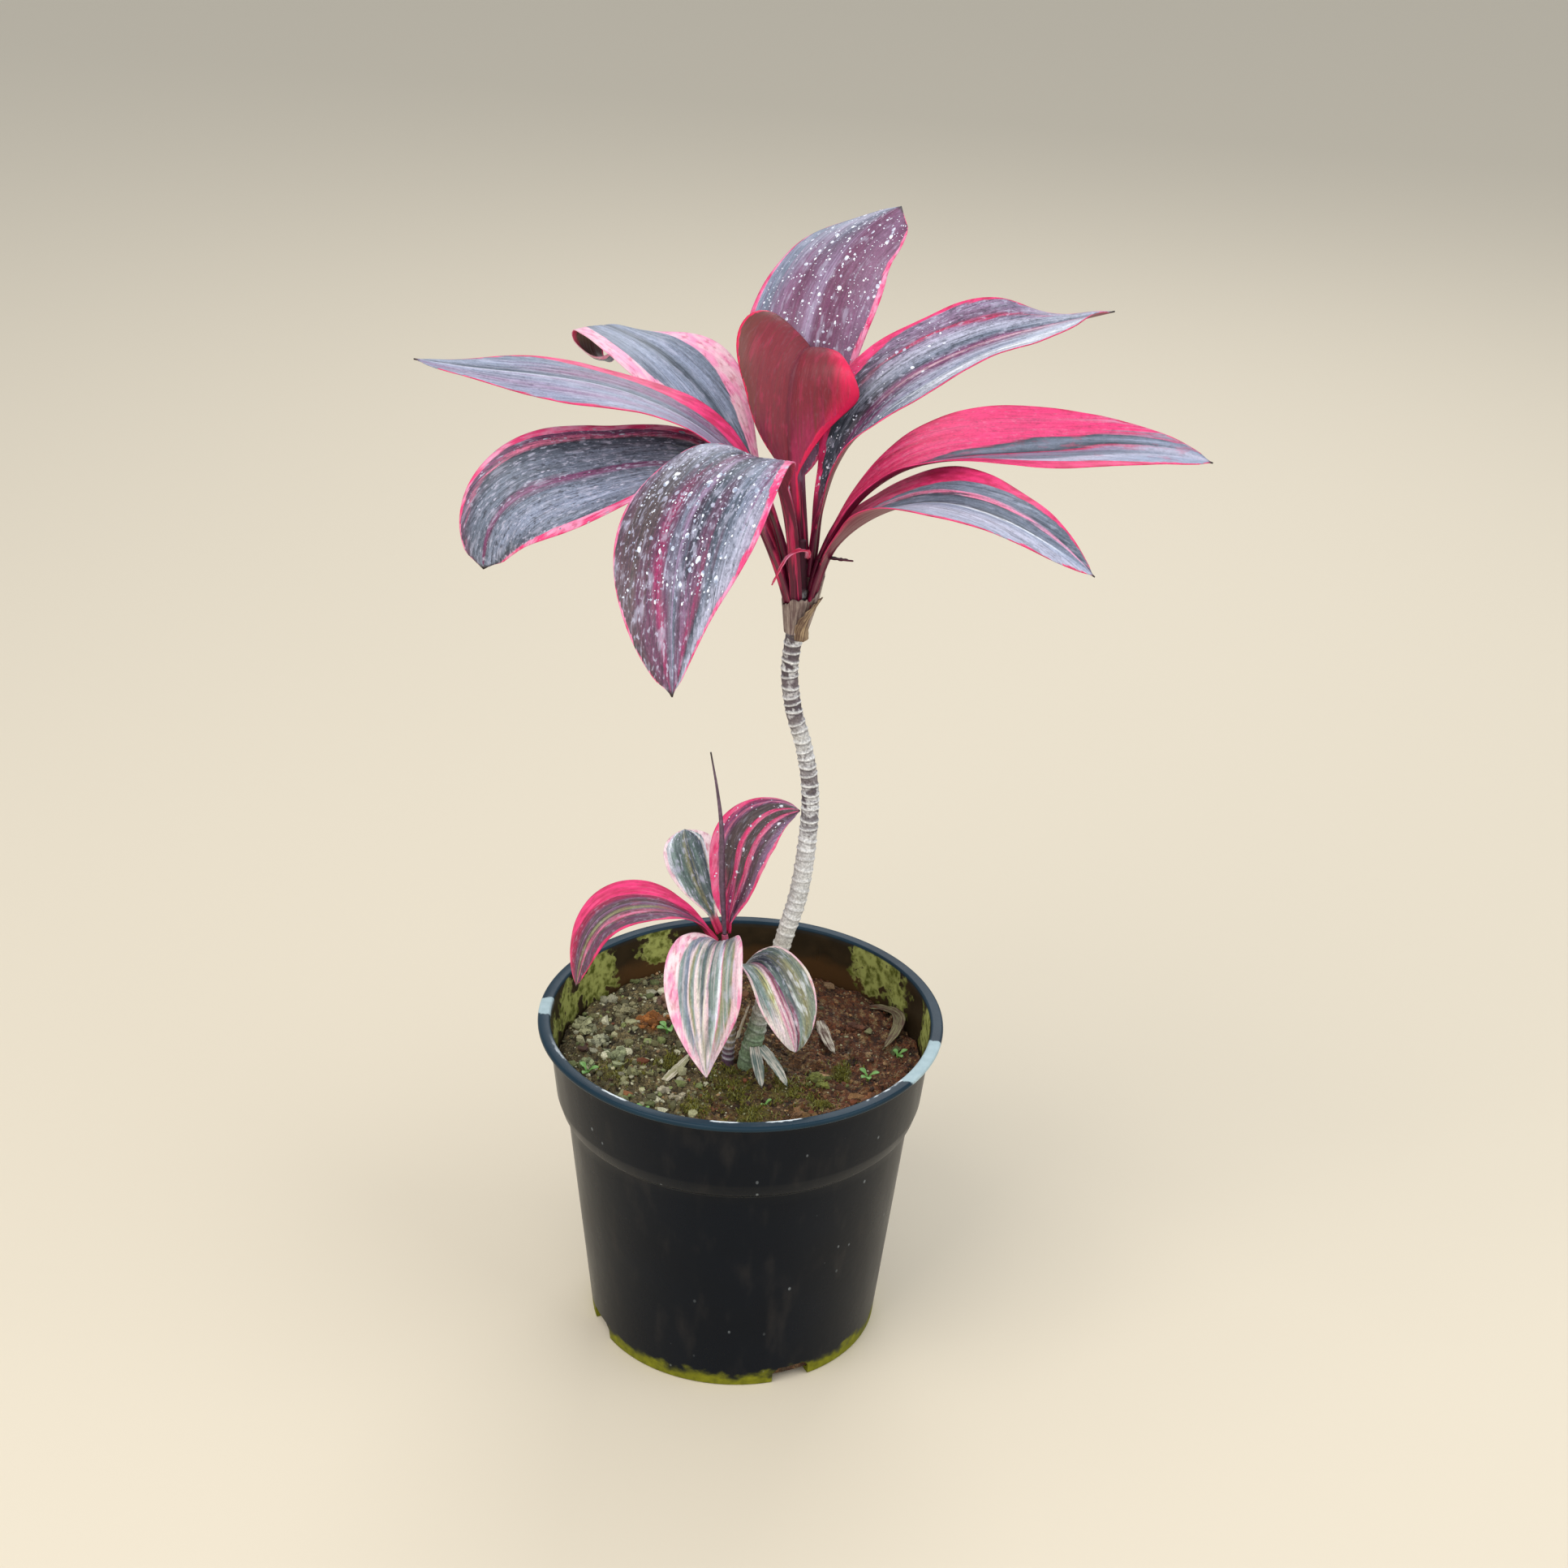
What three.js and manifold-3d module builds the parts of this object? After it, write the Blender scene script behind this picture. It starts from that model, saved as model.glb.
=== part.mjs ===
// Potted cordyline: a black nursery pot filled with soil, a bare ringed cane with a crown of nine
// striped leaves, and a small side shoot with five leaves and a rolled young one.
// Units are millimetres and degrees, +Z is up. The origin is the middle of the pot's foot, on the
// surface that it stands on. +X is to the right and -Y is the front.
import * as THREE from 'three';
import { mergeVertices } from 'three/addons/utils/BufferGeometryUtils.js';
import Module from 'manifold-3d';

const wasm = await Module();
wasm.setup();

// Driving dimensions
const GAP = 0.3; // clearance between neighbouring pieces
const FACET_GAP = 0.1; // spare clearance where flat facets meet a round wall
const RIM_RADIUS = 102.5;
const POT_HEIGHT = 175;
const FOOT_RADIUS = 74.5;
const WALL = 1.7; // thickness of the pot's wall and floor
const SOIL_LEVEL = 150;
const CANE_RADIUS = 4.3;
const SHOOT_RADIUS = 2.7;
const SCAR_SPACING = 5.2;
const BLADE = 0.8; // thickness of a leaf blade
const STALK = 2; // thickness of a leaf stalk

const COLOURS = {
  pot: ['#16191c', 0.32],
  soil: ['#5a4632', 0.95],
  cane: ['#b5aaa0', 0.8],
  leaf: ['#59606e', 0.4],
  redLeaf: ['#8f2846', 0.4],
  paleLeaf: ['#c9a7a0', 0.45],
  dry: ['#b39a78', 0.85],
  red: ['#c03050', 0.5],
};

const part = new THREE.Group();

function addMesh(name, colour, geometry) {
  const [hex, roughness] = COLOURS[colour];
  const material = new THREE.MeshStandardMaterial({ color: hex, roughness, metalness: 0 });
  const mesh = new THREE.Mesh(geometry, material);
  mesh.name = name;
  part.add(mesh);
}

// Solids: closed geometry in and out of the boolean library
const WELD = 1e-4; // points nearer than this are one corner

function toSolid(geometry) {
  const bare = geometry.clone();
  bare.deleteAttribute('normal');
  bare.deleteAttribute('uv');
  const merged = mergeVertices(bare, WELD);
  return new wasm.Manifold(new wasm.Mesh({
    numProp: 3,
    vertProperties: new Float32Array(merged.attributes.position.array),
    triVerts: new Uint32Array(merged.index.array),
  }));
}

function largestBody(solid) {
  const bodies = solid.decompose();
  return bodies.reduce((best, body) => (body.volume() > best.volume() ? body : best));
}

function toGeometry(solid) {
  const mesh = largestBody(solid).getMesh();
  const geometry = new THREE.BufferGeometry();
  geometry.setAttribute('position', new THREE.Float32BufferAttribute(mesh.vertProperties, 3));
  geometry.setIndex(Array.from(mesh.triVerts));
  geometry.computeVertexNormals();
  return geometry;
}

const rad = THREE.MathUtils.degToRad;
const clamp = THREE.MathUtils.clamp;

// A smooth curve through evenly spaced values, read at s from 0 to 1
function blend(values, s) {
  const last = values.length - 1;
  if (last === 0) return values[0];
  const x = Math.min(s * last, last - 1e-9);
  const i = Math.floor(x);
  const f = x - i;
  const a = values[Math.max(i - 1, 0)];
  const b = values[i];
  const c = values[i + 1];
  const d = values[Math.min(i + 2, last)];
  return b + 0.5 * f * (c - a + f * (2 * a - 5 * b + 4 * c - d + f * (3 * (b - c) + d - a)));
}

// Pot: one revolved profile, from the axis along the underside, up the outside and back down inside
const DISC_RADIUS = 44;
const CHANNEL_RISE = 4;
const CHANNEL_INNER = 48;
const CHANNEL_OUTER = 66;
const FOOT_RING_INNER = 69;
const STEP_HEIGHT = 127;
const COLLAR_RADIUS = { foot: 91, bottom: 93.2, top: 97.2 };
const COLLAR_ROUND = 8; // height over which the collar swells out from the wall
const WALL_TOP_RADIUS = 87.9;
const FLANGE_THICKNESS = 3;
const FLANGE_BOTTOM = POT_HEIGHT - FLANGE_THICKNESS;
const EDGE = 0.8; // bevel round the rim's edges
const MOUTH_RADIUS = 96.2;
const DRAIN_COUNT = 4;
const DRAIN_WIDTH = 20;
const DRAIN_HEIGHT = 9;
const DRAIN_CORNER = 3;
const DRAIN_FIRST_ANGLE = -65;
const DRAIN_INNER = CHANNEL_OUTER - 4; // how far in from the foot each drain reaches
const POT_SEGMENTS = 56;

const underside = [
  [0, 0],
  [DISC_RADIUS, 0],
  [CHANNEL_INNER, CHANNEL_RISE],
  [CHANNEL_OUTER, CHANNEL_RISE],
  [FOOT_RING_INNER, 0],
  [FOOT_RADIUS, 0],
];
const outside = [
  [WALL_TOP_RADIUS, STEP_HEIGHT - WALL],
  [COLLAR_RADIUS.foot, STEP_HEIGHT + 1],
  [COLLAR_RADIUS.bottom, STEP_HEIGHT + COLLAR_ROUND],
  [COLLAR_RADIUS.top, FLANGE_BOTTOM],
  [RIM_RADIUS - EDGE, FLANGE_BOTTOM],
  [RIM_RADIUS, FLANGE_BOTTOM + EDGE],
  [RIM_RADIUS, POT_HEIGHT - EDGE],
  [RIM_RADIUS - EDGE, POT_HEIGHT],
];
const inside = [
  [MOUTH_RADIUS + EDGE, POT_HEIGHT],
  [MOUTH_RADIUS, POT_HEIGHT - EDGE],
  [COLLAR_RADIUS.bottom - WALL, STEP_HEIGHT + COLLAR_ROUND],
  [WALL_TOP_RADIUS - WALL, STEP_HEIGHT + 1],
  [FOOT_RADIUS - WALL + 0.3, 2 * WALL],
];
const floorTop = [
  [FOOT_RING_INNER + 0.6, WALL],
  [CHANNEL_OUTER + 0.4, CHANNEL_RISE + WALL],
  [CHANNEL_INNER - 0.6, CHANNEL_RISE + WALL],
  [DISC_RADIUS - 0.6, WALL],
  [0, WALL],
];

const toVectors = (points) => points.map(([r, z]) => new THREE.Vector2(r, z));

// A lathe turns about +Y, so it is stood up to turn about +Z
function revolve(points, segments) {
  return new THREE.LatheGeometry(toVectors(points), segments).rotateX(Math.PI / 2);
}

// One drain: an arch-shaped hole through the foot's corner, from the channel out past the wall
function drainCutter(angle) {
  const half = DRAIN_WIDTH / 2;
  const below = -2;
  const shoulder = DRAIN_HEIGHT - DRAIN_CORNER;
  const mouth = new THREE.Shape();
  mouth.moveTo(-half, below);
  mouth.lineTo(half, below);
  mouth.lineTo(half, shoulder);
  mouth.lineTo(half - DRAIN_CORNER, DRAIN_HEIGHT);
  mouth.lineTo(DRAIN_CORNER - half, DRAIN_HEIGHT);
  mouth.lineTo(-half, shoulder);
  const depth = RIM_RADIUS - DRAIN_INNER;
  const cutter = new THREE.ExtrudeGeometry(mouth, { depth, bevelEnabled: false });
  cutter.rotateX(Math.PI / 2);
  cutter.translate(0, -DRAIN_INNER, 0);
  return cutter.rotateZ(rad(angle + 90));
}

function makePot() {
  const profile = [...underside, ...outside, ...inside, ...floorTop];
  let pot = toSolid(revolve(profile, POT_SEGMENTS));
  for (let i = 0; i < DRAIN_COUNT; i += 1) {
    pot = pot.subtract(toSolid(drainCutter(DRAIN_FIRST_ANGLE + (360 * i) / DRAIN_COUNT)));
  }
  return pot;
}

// Stems: a straight turned profile with leaf scar ridges, bent along a curve
//   radii    values from foot to tip, and sides, the number of flat sides round it
//   plain    smooth length at the foot, and plainTop, smooth length at the tip
//   spacing  distance from scar to scar, ridge, how far a scar stands out, and lean, its tilt in mm
const SCAR_SHARE = 0.72; // where in each spacing the ridge crests
const SCAR_DRIFT = 2.4; // how far the tilt turns round the stem from scar to scar, in radians
const STEM_END = 4; // the last millimetres keep level rings

function profileOfStem(stem, extra) {
  const rows = [[0, -extra]];
  const length = stem.curve.getLength();
  const radiusAt = (h) => blend(stem.radii, h / length) + extra;
  rows.push([radiusAt(0), -extra]);
  const ringed = length - (stem.plainTop ?? 0);
  let h = stem.plain;
  while (stem.spacing && h < ringed) {
    rows.push([radiusAt(h) - stem.ridge / 2, h]);
    rows.push([radiusAt(h) + stem.ridge, h + stem.spacing * SCAR_SHARE]);
    const uneven = 0.25 * Math.sin(1.7 * h);
    h += stem.spacing * (1 + uneven);
  }
  const top = Math.max(h, stem.plain);
  const plainRows = stem.plainRows ?? 3;
  for (let i = 0; i < plainRows; i += 1) {
    const at = top + ((length - top) * i) / plainRows;
    rows.push([radiusAt(at), at]);
  }
  rows.push([radiusAt(length), length + extra]);
  rows.push([0, length + extra]);
  return rows;
}

function bendStem(stem, extra = 0) {
  const geometry = revolve(profileOfStem(stem, extra), stem.sides);
  const length = stem.curve.getLength();
  const position = geometry.attributes.position;
  const point = new THREE.Vector3();
  for (let i = 0; i < position.count; i += 1) {
    point.fromBufferAttribute(position, i);
    const angle = Math.atan2(point.y, point.x);
    const out = Math.hypot(point.x, point.y) / stem.radii[0];
    const drift = (SCAR_DRIFT * point.z) / (stem.spacing || SCAR_SPACING);
    const ringed = point.z > stem.plain && point.z < length - STEM_END;
    const along = point.z + (ringed ? stem.lean * out * Math.cos(angle - drift) : 0);
    const at = clamp(along / length, 0, 1);
    const centre = stem.curve.getPointAt(at);
    const tangent = stem.curve.getTangentAt(at);
    const side = new THREE.Vector3(1, 0, 0).addScaledVector(tangent, -tangent.x).normalize();
    const front = new THREE.Vector3().crossVectors(tangent, side);
    const past = along - at * length;
    centre.addScaledVector(side, point.x).addScaledVector(front, point.y);
    centre.addScaledVector(tangent, past);
    position.setXYZ(i, centre.x, centre.y, centre.z);
  }
  return geometry;
}

const curveThrough = (points) => new THREE.CatmullRomCurve3(
  points.map(([x, y, z]) => new THREE.Vector3(x, y, z)),
  false,
  'centripetal',
);

const CANE = {
  curve: curveThrough([
    [3, -10, 112], [4.4, -10, 152], [9, -9.5, 177], [15, -9, 203], [21, -8, 228], [26.5, -7, 249],
    [30, -5, 278], [30.5, -3.5, 305], [27, -2.5, 327], [21, -1.5, 348], [18.5, -0.5, 367],
    [20, 0, 386], [22, 0, 404], [22.5, 0, 434],
  ]),
  radii: [5.8, 5.6, 4.4, CANE_RADIUS, CANE_RADIUS + 0.3, CANE_RADIUS, 4, 4, 3.9, 1.6],
  sides: 10,
  plain: 42,
  plainTop: 34,
  plainRows: 4,
  spacing: SCAR_SPACING,
  ridge: 0.3,
  lean: 0.5,
};

const SHOOT = {
  curve: curveThrough([
    [-6.8, -9, 128], [-6, -9, 152], [-5.2, -9.5, 170], [-5, -9.5, 186], [-7, -9, 206], [-9, -7.5, 226],
  ]),
  radii: [3, 3, 2.9, SHOOT_RADIUS, SHOOT_RADIUS, 1.6],
  sides: 8,
  plain: 25,
  plainTop: 30,
  plainRows: 3,
  spacing: 4.2,
  ridge: 0.25,
  lean: 0.3,
};

const SPEAR = {
  curve: curveThrough([
    [-9.1, -7.4, 226], [-11, -6.4, 255], [-12, -5.6, 285], [-14.5, -5, 305], [-18, -5, 325],
  ]),
  radii: [1, 1.5, 1.3, 0.8, 0.4],
  sides: 7,
  plain: 0,
  plainRows: 12,
  spacing: 0,
  ridge: 0,
  lean: 0,
};

// Leaves
// A leaf is described along its length by evenly spaced values that blend smoothly:
//   pitch    angle of the midrib above level, and heading, its compass angle from +X towards +Y
//   roll     turn of the blade about its midrib
//   fold     rise of each half at the midrib, and cup, further bend from midrib to margin
//   curl     where a tip curl starts (0 to 1) and how far it turns
//   stalk    share of the length that is stalk, and neck, half the stalk's width
//   shape    where the blade is widest and how full its ends are
//   uneven   how much wider the half at +v is than its mean, and the half at -v narrower
//   ripple   height of the waved margin in mm, number of waves, and where they start
const LEAF_DEFAULTS = {
  roll: [0],
  fold: [10, 8, 6],
  cup: [25, 8, -15],
  curl: [1, 0],
  stalk: 0.15,
  neck: 3.2,
  shape: [1, 0.85],
  uneven: [0],
  ripple: [1.5, 2.5, 0],
  rows: 20,
  stalkThickness: STALK,
  torn: 0,
};
const ACROSS = [-1, -0.62, -0.18, 0, 0.18, 0.62, 1];
const MIDRIB_STEPS = 48;
const CURL_POWER = 1.3; // above 1, a tip curl tightens towards the tip
const LEAST_HALF_WIDTH = 0.6; // a tip is cut off square at twice this
const BLADE_START = 0.2; // share of the length over which the waved margin begins
const BLADE_END = 0.1; // share over which it dies out at the tip
const FAR_HALF = 0.3; // the two margins wave this share of a wave apart
const RIB_DEPTH = 1.1; // how far the midrib stands out below at the foot of a large leaf
const LARGE_LEAF = 25;

function midribOf(leaf) {
  const frames = [];
  const point = new THREE.Vector3(...leaf.base);
  let before = null;
  for (let i = 0; i <= MIDRIB_STEPS; i += 1) {
    const s = i / MIDRIB_STEPS;
    const past = clamp((s - leaf.curl[0]) / Math.max(1 - leaf.curl[0], 1e-6), 0, 1);
    const curl = rad(leaf.curl[1] * past ** CURL_POWER);
    const pitch = rad(blend(leaf.pitch, s));
    const heading = rad(blend(leaf.heading, s));
    const roll = rad(blend(leaf.roll, s));
    const level = Math.cos(pitch);
    const ahead = new THREE.Vector3(
      level * Math.cos(heading),
      level * Math.sin(heading),
      Math.sin(pitch),
    );
    const flat = new THREE.Vector3(-Math.sin(heading), Math.cos(heading), 0);
    const up = new THREE.Vector3().crossVectors(ahead, flat);
    const side = flat.clone().multiplyScalar(Math.cos(roll)).addScaledVector(up, Math.sin(roll));
    const face = up.multiplyScalar(Math.cos(roll)).addScaledVector(flat, -Math.sin(roll));
    const tangent = ahead.clone().multiplyScalar(Math.cos(curl))
      .addScaledVector(face, -Math.sin(curl));
    const normal = face.multiplyScalar(Math.cos(curl)).addScaledVector(ahead, Math.sin(curl));
    if (before) {
      const step = (0.5 * leaf.length) / MIDRIB_STEPS;
      point.addScaledVector(before, step).addScaledVector(tangent, step);
    }
    frames.push({ point: point.clone(), side, normal, tangent });
    before = tangent;
  }
  return frames;
}

function halfWidth(leaf, s) {
  const b = clamp((s - leaf.stalk) / (1 - leaf.stalk), 0, 1);
  const [widest, fullness] = leaf.shape;
  const lens = Math.abs(Math.sin(Math.PI * b ** widest)) ** fullness;
  return Math.max(Math.hypot(leaf.neck * (1 - b) ** 2, (leaf.width / 2) * lens), LEAST_HALF_WIDTH);
}

// The point on the leaf's upper face at s along it and v across it, from -1 to 1
function leafPoint(leaf, frames, s, v) {
  const x = s * MIDRIB_STEPS;
  const i = Math.min(Math.floor(x), MIDRIB_STEPS - 1);
  const f = x - i;
  const at = (key) => frames[i][key].clone().lerp(frames[i + 1][key], f);
  const a = Math.abs(v);
  const w = halfWidth(leaf, s) * (1 + Math.sign(v) * blend(leaf.uneven, s));
  const fold = rad(blend(leaf.fold, s));
  const bend = rad(blend(leaf.cup, s));
  const cup = Math.abs(bend) < 1e-3 ? 1e-3 : bend;
  const out = (w * (Math.sin(fold + cup * a) - Math.sin(fold))) / cup;
  const [height, waves, start] = leaf.ripple;
  const turn = 2 * Math.PI * (waves * s + start + (v < 0 ? FAR_HALF : 0));
  const blade = clamp((s - leaf.stalk) / BLADE_START, 0, 1) * clamp((1 - s) / BLADE_END, 0, 1);
  const lift = (w * (Math.cos(fold) - Math.cos(fold + cup * a))) / cup
    + height * blade * a * a * Math.sin(turn);
  const point = at('point');
  point.addScaledVector(at('side'), Math.sign(v) * out);
  return point.addScaledVector(at('normal'), lift);
}

// The upper face's normal, from two short steps along and across the leaf
function leafNormal(leaf, frames, s, v) {
  const ds = 0.01;
  const dv = 0.08;
  const s0 = clamp(s - ds, 0, 1);
  const s1 = clamp(s + ds, 0, 1);
  const v0 = clamp(v - dv, -1, 1);
  const v1 = clamp(v + dv, -1, 1);
  const along = leafPoint(leaf, frames, s1, v).sub(leafPoint(leaf, frames, s0, v));
  const across = leafPoint(leaf, frames, s, v1).sub(leafPoint(leaf, frames, s, v0));
  return along.cross(across).normalize();
}

// Both faces share one grid of triangles, so the blade stays even where its margins wave
function makeLeaf(spec, extra = 0) {
  const leaf = { ...LEAF_DEFAULTS, ...spec };
  const frames = midribOf(leaf);
  const rows = leaf.rows;
  const across = leaf.across ?? ACROSS;
  const columns = across.length - 1;
  const grown = { ...leaf };
  if (extra) {
    grown.neck += extra;
    grown.width += 2 * extra;
  }
  const upper = [];
  const lower = [];
  for (let i = 0; i <= rows; i += 1) {
    const s = i / rows;
    const stalkShare = 1 - THREE.MathUtils.smoothstep(s, leaf.stalk * 0.7, leaf.stalk * 1.9);
    const body = BLADE + (leaf.stalkThickness - BLADE) * stalkShare;
    const ribSize = leaf.width > LARGE_LEAF ? RIB_DEPTH : RIB_DEPTH / 2;
    for (let j = 0; j <= columns; j += 1) {
      const v = across[j];
      const point = leafPoint(grown, frames, s, v);
      const normal = leafNormal(grown, frames, s, v);
      const rib = v === 0 ? ribSize * (1 - s) ** 1.5 : 0;
      const tear = leaf.torn && i === rows ? leaf.torn * Math.sin(j * 2.3 + leaf.length) : 0;
      const end = (i === 0 ? -extra : 0) + (i === rows ? extra : 0) + tear;
      point.addScaledVector(frames[Math.round(s * MIDRIB_STEPS)].tangent, end);
      upper.push(point.clone().addScaledVector(normal, BLADE / 2 + extra));
      lower.push(point.addScaledVector(normal, BLADE / 2 - body - rib - extra));
    }
  }
  const positions = [...upper, ...lower].flatMap((p) => [p.x, p.y, p.z]);
  const U = (i, j) => i * (columns + 1) + j;
  const L = (i, j) => upper.length + U(i, j);
  const index = [];
  for (let i = 0; i < rows; i += 1) {
    for (let j = 0; j < columns; j += 1) {
      const quad = [[i, j], [i + 1, j], [i + 1, j + 1], [i, j + 1]];
      const pick = across[j] < 0 ? [[0, 1, 3], [1, 2, 3]] : [[0, 1, 2], [0, 2, 3]];
      for (const [a, b, c] of pick) {
        index.push(U(...quad[a]), U(...quad[b]), U(...quad[c]));
        index.push(L(...quad[a]), L(...quad[c]), L(...quad[b]));
      }
    }
    index.push(U(i, columns), U(i + 1, columns), L(i + 1, columns));
    index.push(U(i, columns), L(i + 1, columns), L(i, columns));
    index.push(U(i + 1, 0), U(i, 0), L(i, 0), U(i + 1, 0), L(i, 0), L(i + 1, 0));
  }
  for (let j = 0; j < columns; j += 1) {
    index.push(U(0, j), U(0, j + 1), L(0, j + 1), U(0, j), L(0, j + 1), L(0, j));
    index.push(U(rows, j + 1), U(rows, j), L(rows, j));
    index.push(U(rows, j + 1), L(rows, j), L(rows, j + 1));
  }
  const geometry = new THREE.BufferGeometry();
  geometry.setAttribute('position', new THREE.Float32BufferAttribute(positions, 3));
  geometry.setIndex(index);
  geometry.computeVertexNormals();
  return geometry;
}

// Where a crown stalk starts: round the cane's tip, at an angle, a distance out and a height
const CROWN_AXIS = [22.3, 0];
function round(angle, out, height) {
  return [
    CROWN_AXIS[0] + out * Math.cos(rad(angle)),
    CROWN_AXIS[1] + out * Math.sin(rad(angle)),
    height,
  ];
}

// Innermost first, because each later leaf gives way to those before it
const CROWN_LEAVES = {
  leaf_back_up: {
    base: round(88, 4.6, 420), length: 190, width: 59.4, pitch: [81, 69, 57, 41, 24],
    heading: [118, 91, 65, 22], roll: [7, 8, 10, 5], fold: [3, -11, -4], cup: [22, -3, -18],
    uneven: [-0.18, -0.09, -0.01, 0.06, 0.09, 0.06, 0.06, -0.24], shape: [1.26, 0.44],
    stalk: 0.221, ripple: [1, 2.3, 0.4], colour: 'leaf',
  },
  leaf_front_upright: {
    base: round(120, 3, 424), length: 108, width: 60, pitch: [78, 83, 79, 70, 54],
    heading: [180, 145, 108, 73, 37], roll: [-55, -34, -12, 9, 30], fold: [43, 26, 36],
    cup: [54, -38, -27], curl: [0.765, 74], uneven: [0, -0.22, -0.08, -0.19, 0.35],
    shape: [2.26, 0.457], stalk: 0.35, neck: 3, ripple: [1, 2, 0], colour: 'redLeaf',
  },
  leaf_right_back: {
    base: round(25, 4.4, 416), length: 224, width: 46, pitch: [86, 67, 26, 5, 1],
    heading: [22, 23, 37], roll: [-20, 26, -6], fold: [15, 18, 16], cup: [25, 22, -2],
    shape: [1.05, 0.95], stalk: 0.08, ripple: [2.5, 3, 0.1], colour: 'leaf',
  },
  leaf_left_back: {
    base: round(145, 4.4, 416), length: 198, width: 51, pitch: [62, 65, 35, 5, 6],
    heading: [171, 144, 140], roll: [-38, -12, 14], fold: [5, 3, 7], cup: [48, 9, -11],
    curl: [0.79, 303], uneven: [0.1, 0.06, 0.02, 0.33, 0.19], shape: [1.13, 1.2], stalk: 0.156,
    ripple: [3.2, 2.16, -0.23], rows: 26, colour: 'leaf',
  },
  leaf_left: {
    base: round(187, 5, 411), length: 227, width: 43, pitch: [82, 56, 26, 8, 11],
    heading: [190, 189, 188], roll: [-8, -6, -16], fold: [12, 1, 1], cup: [25, 9, -16],
    shape: [0.92, 0.86], stalk: 0.13, colour: 'leaf',
  },
  leaf_right: {
    base: round(-8, 5.2, 410), length: 219, width: 44, pitch: [80, 47, 8, 4, -9],
    heading: [-14, -3, -5], roll: [0, 20, 28], fold: [15, 24, 18], cup: [25, 14, -11],
    shape: [1.06, 0.84], ripple: [1.2, 2, 0.2], colour: 'redLeaf',
  },
  leaf_front: {
    base: round(252, 5.6, 405), length: 250, width: 59.4, pitch: [81, 61, -2, -34, -66],
    heading: [249, 243, 279], roll: [8, -2, -11], fold: [14, 3, -13], cup: [1, 1, -22],
    uneven: [0.02, 0.04, 0.07, -0.03, -0.13], shape: [1.06, 0.77], stalk: 0.267, neck: 2.6,
    ripple: [1.4, 2.5, 0], colour: 'leaf',
  },
  leaf_left_front: {
    base: round(205, 5.8, 404), length: 208, width: 58, pitch: [74, 56, -1, -18, -90],
    heading: [198, 191, 192], roll: [-5, -14, -58], fold: [12, 5, 5], cup: [25, 12, -13],
    shape: [1.14, 0.52], stalk: 0.19, colour: 'leaf',
  },
  leaf_right_front: {
    base: round(-33, 5.8, 403), length: 192, width: 47, pitch: [82, 44, 18, -6, -22],
    heading: [-22, -41, -41], roll: [24, 8, 18], fold: [15, 10, 8], cup: [25, 12, -13],
    shape: [0.88, 0.94], stalk: 0.1, neck: 3.6, colour: 'leaf',
  },
};

const SHOOT_LEAVES = {
  shoot_leaf_right_up: {
    base: [-7.5, -4.6, 226], length: 82, width: 40, pitch: [85, 77, 78, 42, -10],
    heading: [43, 24, 10], roll: [0, 18, 22], fold: [15, 8, 2], cup: [25, 8, -16],
    shape: [1.05, 0.75], stalk: 0.05, neck: 2, colour: 'redLeaf',
  },
  shoot_leaf_back: {
    base: [-11.4, -4.4, 225], length: 67, width: 29, pitch: [58, 46, 39, 9, -6],
    heading: [139, 114, 95], roll: [-10, -24, -4], fold: [12, 16, 12], cup: [25, 22, -2],
    shape: [1.08, 0.88], stalk: 0.12, neck: 2, colour: 'leaf',
  },
  shoot_leaf_left: {
    base: [-12.6, -8.4, 222], length: 109, width: 29, pitch: [56, 31, -4, -61, -91],
    heading: [191, 199, 222], roll: [-1, -18, -5], fold: [12, 2, -2], cup: [25, 4, -20],
    shape: [1, 0.84], stalk: 0.07, neck: 2.2, colour: 'redLeaf',
  },
  shoot_leaf_front: {
    base: [-8.8, -10.8, 219.5], length: 96, width: 40, pitch: [52, 11, -56, -71, -71],
    heading: [252, 266, 290], roll: [1, 6, -2], fold: [10, 9, 7], cup: [25, 13, -12],
    shape: [0.88, 0.98], stalk: 0.05, neck: 2.2, colour: 'paleLeaf',
  },
  shoot_leaf_right_front: {
    base: [-4, -11.6, 200], length: 79, width: 33, pitch: [69, 37, -35, -57, -90],
    heading: [318, 310, 316], roll: [-5, 12, 15], fold: [10, 14, 12], cup: [25, 20, -5],
    shape: [1.06, 0.74], stalk: 0.11, neck: 2.2, colour: 'paleLeaf',
  },
};
const SHOOT_LEAF_DEFAULTS = { rows: 14, ripple: [0.6, 2, 0], stalkThickness: 1.4 };

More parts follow.
